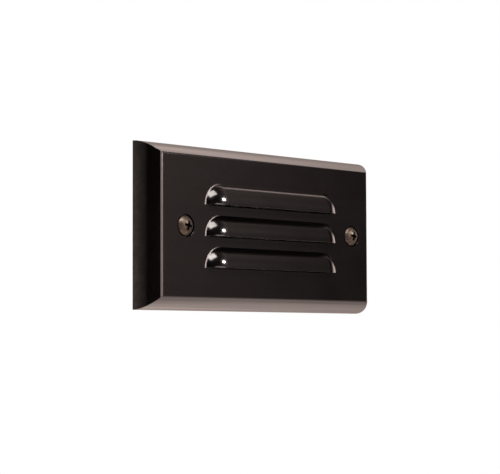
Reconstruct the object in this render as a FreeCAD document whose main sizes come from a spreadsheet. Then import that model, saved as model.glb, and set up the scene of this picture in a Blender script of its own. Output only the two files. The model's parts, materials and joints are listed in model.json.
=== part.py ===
"""Recessed step light: louvred cast plate over a low-voltage back box.

Frame: X to the right along the plate, Y into the wall, Z up, millimetres.
The wall plane is Y = 0 and the origin is the middle of the opening in it.
The plate's face looks along -Y.
"""
import FreeCAD, Part
import math
import os
import Sketcher

Vector = FreeCAD.Vector
doc = FreeCAD.newDocument("step_light")

SIZES = [
    # the plate
    ("plate_width", 114.3), ("plate_height", 57.15), ("plate_depth", 10.0),
    ("plate_wall", 2.0), ("bevel_inset", 4.35), ("face_edge_round", 0.3), ("plate_shift", 1.1),
    # the louvers, each a hood with quarter-round ends over a slot
    ("louver_to_screw", 9.25), ("louver_reach", 7.3), ("louver_rise", 4.0),
    ("louver_wall", 1.2), ("louver_pitch", 10.87), ("lowest_lip", 14.03),
    ("louver_count", 3),
    # the two screws that hold the plate
    ("screw_edge", 14.3), ("screw_major", 3.5), ("screw_length", 11.11),
    ("head_diameter", 6.9), ("head_height", 2.3), ("head_side", 0.5),
    ("seat_diameter", 8.0), ("seat_depth", 0.8), ("screw_hole", 4.3),
    ("washer_diameter", 7.0), ("washer_thickness", 0.5),
    # clearances: a fit, a small gap and a wider one
    ("fit_gap", 0.05), ("near_gap", 0.1), ("clear_gap", 0.5),
    # lens, its seal and its frame
    ("lens_cover", 3.15), ("lens_thickness", 3.0), ("lens_corner", 2.0),
    ("lens_seal", 0.8), ("seal_width", 2.0), ("lens_gap", 0.3), ("fence_wall", 1.0),
    ("fence_height", 2.2), ("frame_sheet", 0.8), ("frame_border", 3.0), ("frame_lap", 1.0),
    ("ear_out", 3.2), ("ear_in", 2.5), ("ear_radius", 2.9), ("post_radius", 2.5),
    ("post_height", 2.5), ("small_screw", 2.2), ("small_head", 4.4), ("small_head_height", 1.2),
    ("small_screw_length", 3.0),
    # foam ring between the plate and the flange
    ("gasket_edge", 5.95), ("gasket_width", 2.8), ("gasket_corner", 4.0),
    # back box
    ("flange_edge", 5.1), ("flange_thickness", 2.0), ("flange_corner", 4.0),
    ("box_length", 66.0), ("box_edge", 8.075), ("box_depth", 24.0),
    ("box_corner", 5.0), ("box_wall", 2.0), ("box_draft", 2.0), ("box_edge_cut", 1.2),
    ("boss_diameter", 8.0), ("boss_depth", 7.0), ("boss_hole_depth", 5.5),
    ("wall_hole", 4.4), ("wall_hole_edge", 12.85), ("wall_hole_spacing_z", 19.0),
    ("weep_hole", 3.0),
    ("rib_thickness", 1.6), ("rib_spacing", 22.0), ("rib_reach", 2.2), ("rib_depth", 14.0),
    # rear hub and its rubber bushing
    ("hub_diameter", 21.0), ("hub_length", 12.0), ("hub_bore", 15.5), ("hub_neck", 18.5),
    ("bushing_flange", 17.5), ("bushing_flange_thickness", 1.5), ("cord_hole", 6.4),
    # reflector
    ("reflector_post_height", 5.9), ("reflector_mouth", 1.5), ("reflector_lip", 0.5),
    ("reflector_side_gap", 1.4), ("reflector_sheet", 0.6), ("reflector_end_gap", 2.0),
    ("reflector_screw_left", 20.0), ("reflector_post", 4.6),
    # lamp, lying along X
    ("lamp_to_floor", 7.9), ("bulb_diameter", 10.2), ("bulb_length", 18.0), ("lamp_seat", 1.0),
    ("bulb_wall", 0.7), ("press_length", 9.0), ("press_width", 9.5), ("press_thickness", 2.1),
    ("base_wire", 0.45), ("base_wire_offset", 2.5), ("base_wire_start", 2.5),
    ("post_wire", 0.5), ("filament_wire", 0.3), ("filament_half", 2.4), ("filament_at", 9.5),
    # socket on its bracket
    ("bracket_sheet", 1.0), ("bracket_half_width", 9.0), ("bracket_margin", 1.0),
    ("bracket_foot", 12.0), ("bracket_foot_half", 5.0), ("bracket_screw_out", 7.5),
    ("bracket_post", 7.0), ("bracket_post_height", 1.4),
    ("socket_nose_diameter", 13.0), ("socket_nose", 10.0), ("socket_collar_diameter", 15.4),
    ("socket_collar", 1.5), ("socket_tail_diameter", 12.0), ("socket_tail", 3.5),
    ("socket_slot_width", 9.8), ("socket_slot_thickness", 4.0), ("socket_slot_depth", 9.0),
    ("contact_thickness", 0.4), ("contact_width", 3.0), ("contact_setback", 0.6),
    ("contact_tab", 1.0),
    # terminal block
    ("block_length", 12.0), ("block_width", 8.4), ("block_height", 6.4), ("block_pitch", 4.2),
    ("block_side_gap", 1.2), ("sleeve_side", 3.0), ("sleeve_bore", 1.9),
    ("sleeve_length", 8.4), ("terminal_screw_spacing", 5.0), ("terminal_screw", 1.6),
    ("terminal_well", 2.6),
    # inner leads
    ("lead_diameter", 1.8), ("lead_end_gap", 2.2), ("lead_bend", 3.2),
]

sheet = doc.addObject("Spreadsheet::Sheet", "Size")
for row, (alias, number) in enumerate(SIZES, 1):
    sheet.set(f"A{row}", alias)
    sheet.set(f"B{row}", str(number))
    sheet.setAlias(f"B{row}", alias)
doc.recompute()


def sized(expression):
    """Put the sheet's name before each alias in an expression."""
    words = {alias for alias, _ in SIZES}
    out, word = "", ""
    for letter in expression + " ":
        if letter.isalnum() or letter == "_":
            word += letter
        else:
            out += ("Size." + word if word in words else word) + letter
            word = ""
    return out.strip()


def number(expression):
    """The value of an expression over the sheet."""
    return float(sheet.evalExpression(sized(expression)))


# Places that several pieces share, across the plate (X), up it (Z) and into the wall (Y).
SCREW_X = "(plate_width / 2 - screw_edge)"
LOUVER_HALF = "(plate_width / 2 - screw_edge - louver_to_screw)"
GASKET_X = "(plate_width / 2 - plate_shift - gasket_edge)"
GASKET_Z = "(plate_height / 2 - gasket_edge)"
LENS_X = f"({LOUVER_HALF} + lens_cover)"
LENS_Z = f"({GASKET_Z} - gasket_width - clear_gap - fence_wall - lens_gap)"
EAR_X = f"({LENS_X} + ear_out)"
EAR_Z = f"({LENS_Z} - ear_in)"
WALL_HOLE_X = "(plate_width / 2 - wall_hole_edge)"
BOX_X = "(box_length / 2)"
BOX_Z = "(plate_height / 2 - box_edge)"
FACE = "plate_depth"                                  # the face is at Y = -FACE
BACK_OF_FACE = "(plate_depth - plate_wall)"           # the pan's inner side, at Y = -this
BEVEL_RADIUS = "((plate_depth ^ 2 + bevel_inset ^ 2) / (2 * bevel_inset))"
LOUVER_RADIUS = "((louver_reach ^ 2 + louver_rise ^ 2) / (2 * louver_rise))"
LENS_FRONT = "(plate_depth - plate_wall - lens_seal)"
LENS_BACK = "(plate_depth - plate_wall - lens_seal - lens_thickness)"
EAR_FRONT = "(plate_depth - plate_wall - post_height)"
HEAD_SEAT = "(plate_depth - seat_depth)"
BOX_FLOOR = "(box_depth - box_wall)"
REFLECTOR_FLOOR = "(box_depth - box_wall - reflector_post_height - reflector_sheet)"
REFLECTOR_BEND = f"({REFLECTOR_FLOOR} - reflector_mouth - reflector_lip)"
REFLECTOR_FLAT = f"({BOX_Z} - box_wall - reflector_side_gap - reflector_sheet - {REFLECTOR_BEND})"
LAMP_AXIS = f"({REFLECTOR_FLOOR} - lamp_to_floor)"
REFLECTOR_SCREW_RIGHT = "((bushing_flange + reflector_post + clear_gap) / 2)"
BRACKET_AT = f"({REFLECTOR_SCREW_RIGHT} + small_head / 2 + clear_gap)"
BRACKET_SCREW = f"({BRACKET_AT} + bracket_screw_out)"
FOOT_FLOOR = f"({BOX_FLOOR} - bracket_post_height)"
FOOT_TOP = f"({FOOT_FLOOR} - bracket_sheet)"
NOSE_END = f"({BRACKET_AT} - socket_nose)"
SOCKET_END = f"({BRACKET_AT} + socket_tail)"
CONTACT_END = f"({SOCKET_END} + contact_tab)"
BULB_BASE = f"({NOSE_END} - lamp_seat)"
BLOCK_TOP = "(box_depth - box_wall - block_height)"
BLOCK_X = "(-(bushing_flange + block_length) / 2 - clear_gap)"
BLOCK_Z = f"(-({BOX_Z} - box_wall - block_side_gap - block_width / 2))"
LEAD_LEVEL = "(box_depth - box_wall - block_height / 2)"
WHITE_TURN = f"({BOX_X} - box_wall - lead_end_gap - lead_diameter / 2)"
BLACK_TURN = f"({WHITE_TURN} - lead_diameter - 2 * clear_gap)"
REFLECTOR_LEFT = f"({BOX_X} - box_wall - reflector_end_gap)"
REFLECTOR_RIGHT = f"({BLACK_TURN} - lead_diameter / 2 - 2 * clear_gap)"
SIDES = (-1, 1)
WIRE_SIDES = 8


# ---------------------------------------------------------------- sketches

def new_body(label):
    """An empty body whose name and label are the node's name."""
    return doc.addObject("PartDesign::Body", label)


def place(item, x="0", y="0", z="0"):
    """Bind where an object stands to the sheet."""
    for axis, expression in (("x", x), ("y", y), ("z", z)):
        item.setExpression("Placement.Base." + axis, sized(expression))


def origin_plane(body, role):
    """One of the body's own origin planes."""
    return next(f for f in body.Origin.OriginFeatures if f.Role == role)


def new_sketch(body, role, offset="0", shift="0"):
    """A sketch on an origin plane, moved along its normal and its first axis."""
    sketch = body.newObject("Sketcher::SketchObject", body.Label + "_sketch")
    sketch.AttachmentSupport = [(origin_plane(body, role), "")]
    sketch.MapMode = "FlatFace"
    sketch.setExpression("AttachmentOffset.Base.z", sized(offset))
    sketch.setExpression("AttachmentOffset.Base.x", sized(shift))
    return sketch


def pin_point(sketch, edge, end, x, y):
    """Fix one end of an edge at a bound place."""
    for kind, expression in (("DistanceX", x), ("DistanceY", y)):
        index = sketch.addConstraint(
            Sketcher.Constraint(kind, -1, 1, edge, end, number(expression)))
        sketch.setExpression(f"Constraints[{index}]", sized(expression))


def add_arc(sketch, start, finish, radius):
    """An arc between two points; a positive radius has its centre on the left.

    Returns the edge and which of its ends lies at the start point.
    """
    size = abs(number(radius))
    chord = finish - start
    left = Vector(-chord.y, chord.x, 0).normalize()
    reach = math.sqrt(max(size ** 2 - (chord.Length / 2) ** 2, 0))
    on_left = number(radius) > 0
    centre = (start + finish) / 2 + left * (reach if on_left else -reach)
    first, second = (start, finish) if on_left else (finish, start)
    low = math.atan2(first.y - centre.y, first.x - centre.x)
    high = math.atan2(second.y - centre.y, second.x - centre.x)
    circle = Part.Circle(centre, Vector(0, 0, 1), size)
    if high < low:
        high += 2 * math.pi
    edge = sketch.addGeometry(Part.ArcOfCircle(circle, low, high))
    index = sketch.addConstraint(Sketcher.Constraint("Radius", edge, size))
    sketch.setExpression(f"Constraints[{index}]", sized(f"abs({radius})"))
    return edge, 1 if on_left else 2


def add_loop(sketch, corners):
    """A closed outline; a corner is (x, y) or (x, y, radius of the arc to the next one)."""
    points = [Vector(number(c[0]), number(c[1]), 0) for c in corners]
    edges = []
    for i, corner in enumerate(corners):
        start, finish = points[i], points[(i + 1) % len(points)]
        if len(corner) == 3:
            edges.append(add_arc(sketch, start, finish, corner[2]))
        else:
            edges.append((sketch.addGeometry(Part.LineSegment(start, finish)), 1))
    for i, (edge, start_end) in enumerate(edges):
        following, following_start = edges[(i + 1) % len(edges)]
        sketch.addConstraint(
            Sketcher.Constraint("Coincident", edge, 3 - start_end, following, following_start))
        pin_point(sketch, edge, start_end, corners[i][0], corners[i][1])


def add_rectangle(sketch, half_x, half_y, corner, x="0", y="0"):
    """A rectangle about a centre, with round corners unless corner is "0"."""
    signs = ((1, -1), (1, 1), (-1, 1), (-1, -1))
    if corner == "0":
        add_loop(sketch, [(f"{x} + {i} * {half_x}", f"{y} + {j} * {half_y}") for i, j in signs])
        return
    corners = []
    for i, j in signs:
        across = (f"{x} + {i} * ({half_x} - {corner})", f"{y} + {j} * {half_y}")
        along = (f"{x} + {i} * {half_x}", f"{y} + {j} * ({half_y} - {corner})")
        first, second = (along, across) if i == j else (across, along)
        corners += [(*first, corner), second]
    add_loop(sketch, corners)


def add_circle(sketch, radius, x="0", y="0"):
    """A circle about a bound centre."""
    centre = Vector(number(x), number(y), 0)
    edge = sketch.addGeometry(Part.Circle(centre, Vector(0, 0, 1), number(radius)))
    index = sketch.addConstraint(Sketcher.Constraint("Radius", edge, number(radius)))
    sketch.setExpression(f"Constraints[{index}]", sized(radius))
    pin_point(sketch, edge, 3, x, y)


# ---------------------------------------------------------------- features

def pad(body, sketch, length, back=False, both_ways=False, taper="0"):
    """Raise a sketch along its normal, or the other way, or half each way."""
    feature = body.newObject("PartDesign::Pad", body.Label + "_pad")
    feature.Profile = sketch
    feature.SideType = "Symmetric" if both_ways else "One side"
    feature.Reversed = back
    feature.setExpression("Length", sized(length))
    feature.setExpression("TaperAngle", sized(taper))
    return feature


def pocket(body, sketch, length, back=False, both_ways=False, taper="0"):
    """Cut a sketch against its normal, or the other way, and check that it cut."""
    doc.recompute()
    before = body.Shape.Volume
    feature = body.newObject("PartDesign::Pocket", body.Label + "_pocket")
    feature.Profile = sketch
    feature.SideType = "Symmetric" if both_ways else "One side"
    feature.Reversed = back
    feature.setExpression("Length", sized(length))
    feature.setExpression("TaperAngle", sized(taper))
    doc.recompute()
    if not body.Shape.Volume < before - 1e-6:
        raise RuntimeError(f"{feature.Label} cuts nothing")
    return feature


def turn(body, sketch, axis, kind="Revolution", angle=360.0, back=False):
    """Turn a sketch about its own H or V axis, as a solid or as a cut."""
    feature = body.newObject("PartDesign::" + kind, body.Label + "_turn")
    feature.Profile = sketch
    feature.ReferenceAxis = (sketch, [axis])
    feature.Angle = angle
    feature.Reversed = back
    return feature


def mirrored_group(label, source, across):
    """One node of separate solids: the source and its copies across the given planes."""
    items = [source]
    for normal in across:
        for item in list(items):
            copy = doc.addObject("Part::Mirroring", item.Label + "_copy")
            copy.Source = item
            copy.Normal = normal
            items.append(copy)
    group = doc.addObject("Part::Compound", label)
    group.Links = items
    return group


def edges_where(shape, test):
    """Names of the edges whose box passes a test."""
    return [f"Edge{i}" for i, edge in enumerate(shape.Edges, 1) if test(edge.BoundBox)]


def round_edges(body, test, radius):
    """Fillet the edges of the body so far that pass a test."""
    doc.recompute()
    base = body.Tip
    feature = body.newObject("PartDesign::Fillet", body.Label + "_round")
    feature.Base = (base, edges_where(base.Shape, test))
    feature.setExpression("Radius", sized(radius))
    return feature


def bevel_edges(body, test, size):
    """Chamfer the edges of the body so far that pass a test."""
    doc.recompute()
    base = body.Tip
    feature = body.newObject("PartDesign::Chamfer", body.Label + "_bevel")
    feature.Base = (base, edges_where(base.Shape, test))
    feature.setExpression("Size", sized(size))
    return feature


def box(label, x, y, z):
    """A Part box between bound corners, each axis given as (low, high)."""
    item = doc.addObject("Part::Box", label)
    for name, (low, high) in (("Length", x), ("Width", y), ("Height", z)):
        item.setExpression(name, sized(f"({high}) - ({low})"))
    place(item, x[0], y[0], z[0])
    return item


def rod(label, radius, x, y="0", z="0"):
    """A Part cylinder along X between bound ends, given as (low, high)."""
    item = doc.addObject("Part::Cylinder", label)
    item.setExpression("Radius", sized(radius))
    item.setExpression("Height", sized(f"({x[1]}) - ({x[0]})"))
    item.Placement = FreeCAD.Placement(Vector(), FreeCAD.Rotation(Vector(0, 1, 0), 90))
    place(item, x[0], y, z)
    return item


def fine_wire(label, diameter, z_low, z_high):
    """A thin eight-sided Part prism along Z, standing at the origin's X and Y."""
    item = doc.addObject("Part::Prism", label)
    item.Polygon = WIRE_SIDES
    item.setExpression("Circumradius", sized(f"{diameter} / 2"))
    item.setExpression("Height", sized(f"({z_high}) - ({z_low})"))
    return item


def wire_along_x(label, diameter, x, y, z):
    """A thin wire along X between bound ends, given as (low, high)."""
    item = fine_wire(label, diameter, *x)
    item.Placement = FreeCAD.Placement(Vector(), FreeCAD.Rotation(Vector(0, 1, 0), 90))
    place(item, x[0], y, z)
    return item


def fuse(label, items):
    """Join Part objects."""
    item = doc.addObject("Part::MultiFuse", label)
    item.Shapes = items
    item.Refine = True
    return item


def cut(label, base, tools):
    """Take Part objects away from a Part object."""
    item = doc.addObject("Part::Cut", label)
    item.Base = base
    item.Tool = tools[0] if len(tools) == 1 else fuse(label + "_tools", tools)
    return item


# ---------------------------------------------------------------- the plate

def plate_shell():
    """The pan: a block with an arc bevel on its four sides, mitred, then hollowed.

    Its outline stands a little to the left of its louvers and screws.
    """
    body = new_body("faceplate")
    across = new_sketch(body, "XY_Plane", shift="-plate_shift")
    half = "plate_width / 2"
    add_loop(across, [
        (f"-{half}", "0", BEVEL_RADIUS),
        (f"-{half} + bevel_inset", "-plate_depth"),
        (f"{half} - bevel_inset", "-plate_depth", BEVEL_RADIUS),
        (half, "0"),
    ])
    pad(body, across, "plate_height", both_ways=True)
    upright = new_sketch(body, "YZ_Plane")
    spare = "plate_wall"
    for sign in SIDES:
        edge = f"{sign} * plate_height / 2"
        face = f"{sign} * (plate_height / 2 - bevel_inset)"
        beyond = f"{sign} * (plate_height / 2 + {spare})"
        add_loop(upright, [
            ("0", edge, f"{sign} * {BEVEL_RADIUS}"),
            ("-plate_depth", face),
            (f"-plate_depth - {spare}", face),
            (f"-plate_depth - {spare}", beyond),
            ("0", beyond),
        ])
    pocket(body, upright, "plate_width * 2", both_ways=True)
    base = body.Tip
    back = next(f"Face{i}" for i, face in enumerate(base.Shape.Faces, 1)
                if abs(face.BoundBox.YMin) < 1e-6 and abs(face.BoundBox.YMax) < 1e-6)
    shell = body.newObject("PartDesign::Thickness", "faceplate_shell")
    shell.Base = (base, [back])
    shell.Reversed = True
    shell.setExpression("Value", sized("plate_wall"))
    front = -number(FACE)
    round_edges(body, lambda b: b.YMax < front + 1e-6, "face_edge_round")
    return body


def louver_profile(side, thinner, inner_end):
    """Corners of a louver's section from its lip: reach along the first axis, rise along -Y.

    side is 1 or -1, thinner is how far inside the outer skin it lies, and
    inner_end is the Y where the section stops behind the face.
    """
    radius = f"({LOUVER_RADIUS} - {thinner})"
    centre = f"({FACE} + louver_rise - {LOUVER_RADIUS})"
    reach = f"sqrt({radius} ^ 2 - ({LOUVER_RADIUS} - louver_rise) ^ 2)"
    return [
        ("0", inner_end),
        ("0", f"-({centre} + {radius})", f"{side} * {radius}"),
        (f"{side} * {reach}", f"-{FACE}"),
        (f"{side} * {reach}", inner_end),
    ]


def louver_layer(body, thinner, inner_end, cutting):
    """One louver as a straight run with a quarter turn at each end; returns its features."""
    lip = "-lowest_lip"
    run = f"(2 * ({LOUVER_HALF} - louver_reach))"
    middle = new_sketch(body, "YZ_Plane")
    corners = louver_profile(1, thinner, inner_end)
    flipped = [(c[1], f"{lip} + {c[0]}", *(f"-1 * {r}" for r in c[2:])) for c in corners]
    add_loop(middle, flipped)
    features = [(pocket if cutting else pad)(body, middle, run, both_ways=True)]
    for side in SIDES:
        end = new_sketch(body, "XY_Plane", offset=lip, shift=f"{side} * {run} / 2")
        add_loop(end, louver_profile(side, thinner, inner_end))
        kind = "Groove" if cutting else "Revolution"
        features.append(turn(body, end, "V_Axis", kind, angle=90.0, back=side > 0))
        doc.recompute()
    return features


def add_louvers(body):
    """The three pressed hoods, one above the other, each open at its lower lip."""
    hood = louver_layer(body, "0", f"-{FACE} + plate_wall / 2", cutting=False)
    slot = louver_layer(body, "louver_wall", f"-{BACK_OF_FACE} + near_gap", cutting=True)
    rows = body.newObject("PartDesign::LinearPattern", "faceplate_rows")
    rows.Originals = hood + slot
    rows.Direction = (origin_axis(body, "Z_Axis"), [""])
    rows.setExpression("Length", sized("louver_pitch * (louver_count - 1)"))
    rows.Occurrences = round(number("louver_count"))
    body.Tip = rows


def origin_axis(body, role):
    """One of the body's own origin axes."""
    return next(f for f in body.Origin.OriginFeatures if f.Role == role)


def add_screw_seats(body):
    """The two recessed holes for the plate's screws."""
    for radius, depth in (("seat_diameter / 2", "seat_depth"), ("screw_hole / 2", "plate_wall + near_gap")):
        sketch = new_sketch(body, "XZ_Plane", offset=FACE)
        for sign in SIDES:
            add_circle(sketch, radius, f"{sign} * {SCREW_X}")
        pocket(body, sketch, depth)


def ear_centres():
    """The four places where the lens frame is screwed down."""
    return [(f"{i} * {EAR_X}", f"{j} * {EAR_Z}") for i in SIDES for j in SIDES]


def add_lens_seat(body):
    """The fence that keeps the lens in place and the posts for its frame."""
    fence = new_sketch(body, "XZ_Plane", offset=BACK_OF_FACE)
    for extra in ("lens_gap", "lens_gap + fence_wall"):
        add_rectangle(fence, f"({LENS_X} + {extra})", f"({LENS_Z} + {extra})",
                      f"(lens_corner + {extra})")
    pad(body, fence, "fence_height", back=True)
    posts = new_sketch(body, "XZ_Plane", offset=BACK_OF_FACE)
    for x, z in ear_centres():
        add_circle(posts, "post_radius", x, z)
    pad(body, posts, "post_height", back=True)
    holes = new_sketch(body, "XZ_Plane", offset=EAR_FRONT)
    for x, z in ear_centres():
        add_circle(holes, "small_screw / 2 + fit_gap", x, z)
    pocket(body, holes, "small_screw_length - frame_sheet + near_gap", back=True)


def make_faceplate():
    """The whole cast plate."""
    body = plate_shell()
    add_louvers(body)
    add_screw_seats(body)
    add_lens_seat(body)
    return body


def make_faceplate_screw(side, name):
    """Domed screw, seated in the plate and reaching into its boss."""
    body = new_body("faceplate_screw_" + name)
    half = "head_diameter / 2"
    dome = f"(({half}) ^ 2 + (head_height - head_side) ^ 2) / (2 * (head_height - head_side))"
    outline = new_sketch(body, "XY_Plane")
    add_loop(outline, [
        ("0", "screw_length"),
        ("0", "-head_height", dome),
        ("-" + half, "-head_side"),
        ("-" + half, "0"),
        ("-screw_major / 2", "0"),
        ("-screw_major / 2", "screw_length - 0.2 * screw_major"),
        ("-0.3 * screw_major", "screw_length"),
    ])
    turn(body, outline, "V_Axis")
    place(body, f"{side} * {SCREW_X}", f"-{HEAD_SEAT}")
    return body


def make_retaining_washer(side, name):
    """Thin washer on the shank, just clear of the boss."""
    body = new_body("retaining_washer_" + name)
    ring = new_sketch(body, "XZ_Plane")
    add_circle(ring, "washer_diameter / 2")
    add_circle(ring, "screw_major / 2 + fit_gap")
    pad(body, ring, "washer_thickness")
    place(body, f"{side} * {SCREW_X}", "-flange_thickness - near_gap")
    return body


def ring_body(label, half_x, half_z, corner, width, front, thickness):
    """A flat ring with round corners, from its front plane back by its thickness."""
    body = new_body(label)
    sketch = new_sketch(body, "XZ_Plane", offset=front)
    add_rectangle(sketch, half_x, half_z, corner)
    add_rectangle(sketch, f"({half_x} - {width})", f"({half_z} - {width})", f"({corner} - {width} / 2)")
    pad(body, sketch, thickness, back=True)
    return body


def make_faceplate_gasket():
    """Foam ring that fills the space from the plate to the flange."""
    return ring_body("faceplate_gasket", GASKET_X, GASKET_Z, "gasket_corner",
                     "gasket_width", BACK_OF_FACE, f"{BACK_OF_FACE} - flange_thickness")


def make_lens_gasket():
    """Thin seal under the lens."""
    return ring_body("lens_gasket", LENS_X, LENS_Z, "lens_corner",
                     "seal_width", BACK_OF_FACE, "lens_seal")


def make_lens():
    """Flat glass with round corners and eased edges."""
    body = new_body("lens")
    sketch = new_sketch(body, "XZ_Plane", offset=LENS_FRONT)
    add_rectangle(sketch, LENS_X, LENS_Z, "lens_corner")
    pad(body, sketch, "lens_thickness", back=True)
    return body


def make_lens_retainer():
    """Stamped frame on the lens, with four ears stepped down to the posts."""
    body = new_body("lens_retainer")
    half_x = f"({LENS_X} + frame_lap)"
    half_z = f"({LENS_Z} - lens_gap)"
    frame = new_sketch(body, "XZ_Plane", offset=f"{LENS_BACK} - frame_sheet")
    add_rectangle(frame, half_x, half_z, "lens_corner")
    add_rectangle(frame, f"({LENS_X} - frame_border)", f"({half_z} - frame_border + frame_lap)",
                  "(lens_corner / 2)")
    pad(body, frame, "frame_sheet")
    riser = new_sketch(body, "XZ_Plane", offset=f"{LENS_BACK} - frame_sheet")
    ears = new_sketch(body, "XZ_Plane", offset=f"{EAR_FRONT} - frame_sheet")
    holes = new_sketch(body, "XZ_Plane", offset=EAR_FRONT)
    inner = f"({half_x} - frame_sheet)"
    for i in SIDES:
        for j in SIDES:
            x, z = f"{i} * {EAR_X}", f"{j} * {EAR_Z}"
            top = f"({j} * {EAR_Z} + ear_radius)"
            low = f"({j} * {EAR_Z} - ear_radius)"
            order = (low, top) if i > 0 else (top, low)
            add_loop(riser, [(f"{i} * {inner}", order[0]), (f"{i} * {half_x}", order[0]),
                             (f"{i} * {half_x}", order[1]), (f"{i} * {inner}", order[1])])
            tip = f"{x} + {i} * ear_radius"
            add_loop(ears, [(f"{i} * {inner}", order[0]), (x, order[0]), (tip, f"({order[0]} + {z}) / 2"),
                            (tip, f"({order[1]} + {z}) / 2"), (x, order[1]), (f"{i} * {inner}", order[1])])
            add_circle(holes, "small_screw / 2 + fit_gap", x, z)
    pad(body, riser, f"{EAR_FRONT} - {LENS_BACK} + frame_sheet")
    pad(body, ears, "frame_sheet")
    pocket(body, holes, "frame_sheet")
    return body


def small_screw_body(label, length, x, y, z):
    """Cheese-head screw whose head rises towards -Y from the given seat."""
    body = new_body(label)
    outline = new_sketch(body, "XY_Plane")
    add_loop(outline, [
        ("0", length),
        ("0", "-small_head_height"),
        ("-small_head / 2", "-small_head_height"),
        ("-small_head / 2", "0"),
        ("-small_screw / 2", "0"),
        ("-small_screw / 2", length),
    ])
    turn(body, outline, "V_Axis")
    place(body, x, y, z)
    return body


def make_lens_retainer_screws():
    """The four small screws of the lens frame."""
    first = small_screw_body("lens_retainer_screw", "small_screw_length", EAR_X,
                             f"-({EAR_FRONT} - frame_sheet)", EAR_Z)
    first.Placement.Rotation = FreeCAD.Rotation(Vector(1, 0, 0), 180)
    return mirrored_group("lens_retainer_screws", first, (Vector(1, 0, 0), Vector(0, 0, 1)))


# ---------------------------------------------------------------- the back box

def housing_shell():
    """Flange and drafted box in one casting, hollowed from the front."""
    body = new_body("housing")
    flange = new_sketch(body, "XZ_Plane")
    add_rectangle(flange, "(plate_width / 2 - flange_edge)", "(plate_height / 2 - flange_edge)",
                  "flange_corner")
    pad(body, flange, "flange_thickness")
    outer = new_sketch(body, "XZ_Plane")
    add_rectangle(outer, BOX_X, BOX_Z, "box_corner")
    pad(body, outer, "box_depth", back=True, taper="-box_draft")
    depth = number("box_depth")
    bevel_edges(body, lambda b: b.YMin > depth - 1e-6, "box_edge_cut")
    return body


def hollow_housing(body):
    """The cavity, with the same draft as the outside."""
    cavity = new_sketch(body, "XZ_Plane", offset="flange_thickness")
    add_rectangle(cavity, f"({BOX_X} - box_wall)", f"({BOX_Z} - box_wall)", "(box_corner - box_wall)")
    pocket(body, cavity, f"flange_thickness + {BOX_FLOOR}", taper="-box_draft")


def add_housing_bosses(body):
    """Tapped bosses for the plate's screws and stiffening ribs behind the flange."""
    bosses = new_sketch(body, "XZ_Plane")
    for sign in SIDES:
        add_circle(bosses, "boss_diameter / 2", f"{sign} * {SCREW_X}")
    pad(body, bosses, "boss_depth", back=True)
    webs = new_sketch(body, "XZ_Plane")
    for sign in SIDES:
        middle = f"{sign} * ({SCREW_X} + {BOX_X} - box_wall) / 2"
        add_rectangle(webs, f"(({SCREW_X} - {BOX_X} + box_wall) / 2)", "(rib_thickness / 2)", "0", middle)
    pad(body, webs, "boss_depth", back=True)
    ribs = new_sketch(body, "YZ_Plane")
    for sign in SIDES:
        root = f"{sign} * ({BOX_Z} - box_wall / 2)"
        add_loop(ribs, [("0", root), ("0", f"{sign} * ({BOX_Z} + rib_reach)"),
                        ("rib_depth", root)][::sign])
    rib = pad(body, ribs, "rib_thickness", both_ways=True)
    doc.recompute()
    row = body.newObject("PartDesign::LinearPattern", "housing_ribs_right")
    row.Originals = [rib]
    row.Direction = (origin_axis(body, "X_Axis"), [""])
    row.setExpression("Length", sized("rib_spacing"))
    row.Occurrences = 2
    body.Tip = row
    doc.recompute()
    other = body.newObject("PartDesign::LinearPattern", "housing_ribs_left")
    other.Originals = [rib]
    other.Direction = (origin_axis(body, "X_Axis"), [""])
    other.Reversed = True
    other.setExpression("Length", sized("rib_spacing"))
    other.Occurrences = 2
    body.Tip = other


def add_housing_holes(body):
    """Holes for the wall screws and the plate's screws, and the weep hole."""
    wall = new_sketch(body, "XZ_Plane", offset="flange_thickness")
    for i in SIDES:
        for j in SIDES:
            add_circle(wall, "wall_hole / 2", f"{i} * {WALL_HOLE_X}",
                       f"{j} * wall_hole_spacing_z / 2")
    pocket(body, wall, "flange_thickness + near_gap")
    tapped = new_sketch(body, "XZ_Plane", offset="flange_thickness")
    for sign in SIDES:
        add_circle(tapped, "screw_major / 2 + fit_gap", f"{sign} * {SCREW_X}")
    pocket(body, tapped, "flange_thickness + boss_hole_depth")
    weep = new_sketch(body, "XY_Plane", offset=f"-{BOX_Z} - box_wall")
    add_circle(weep, "weep_hole / 2", "-reflector_screw_left", "box_depth / 4")
    pocket(body, weep, "3 * box_wall", back=True)


def add_housing_floor(body):
    """The hole for the rear hub, and the posts inside the floor."""
    hole = new_sketch(body, "XZ_Plane", offset=f"-{BOX_FLOOR}")
    add_circle(hole, "hub_neck / 2 + fit_gap")
    pocket(body, hole, "box_wall + near_gap")
    posts = (
        ("reflector_post", "-reflector_screw_left", "reflector_post_height"),
        ("reflector_post", REFLECTOR_SCREW_RIGHT, "reflector_post_height"),
        ("bracket_post", BRACKET_SCREW, "bracket_post_height"),
    )
    for diameter, x, height in posts:
        post = new_sketch(body, "XZ_Plane", offset=f"-{BOX_FLOOR}")
        add_circle(post, f"{diameter} / 2", x)
        pad(body, post, height)
        hole = new_sketch(body, "XZ_Plane", offset=f"-{BOX_FLOOR} + {height}")
        add_circle(hole, "small_screw / 2 + fit_gap", x)
        pocket(body, hole, "small_screw_length")
    screw = new_sketch(body, "XZ_Plane", offset=f"-{BOX_FLOOR}")
    add_circle(screw, "terminal_screw / 4 + fit_gap", BLOCK_X, BLOCK_Z)
    pocket(body, screw, "box_wall / 2")


def make_housing():
    """The cast back box."""
    body = housing_shell()
    add_housing_bosses(body)
    hollow_housing(body)
    add_housing_holes(body)
    add_housing_floor(body)
    return body


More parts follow.
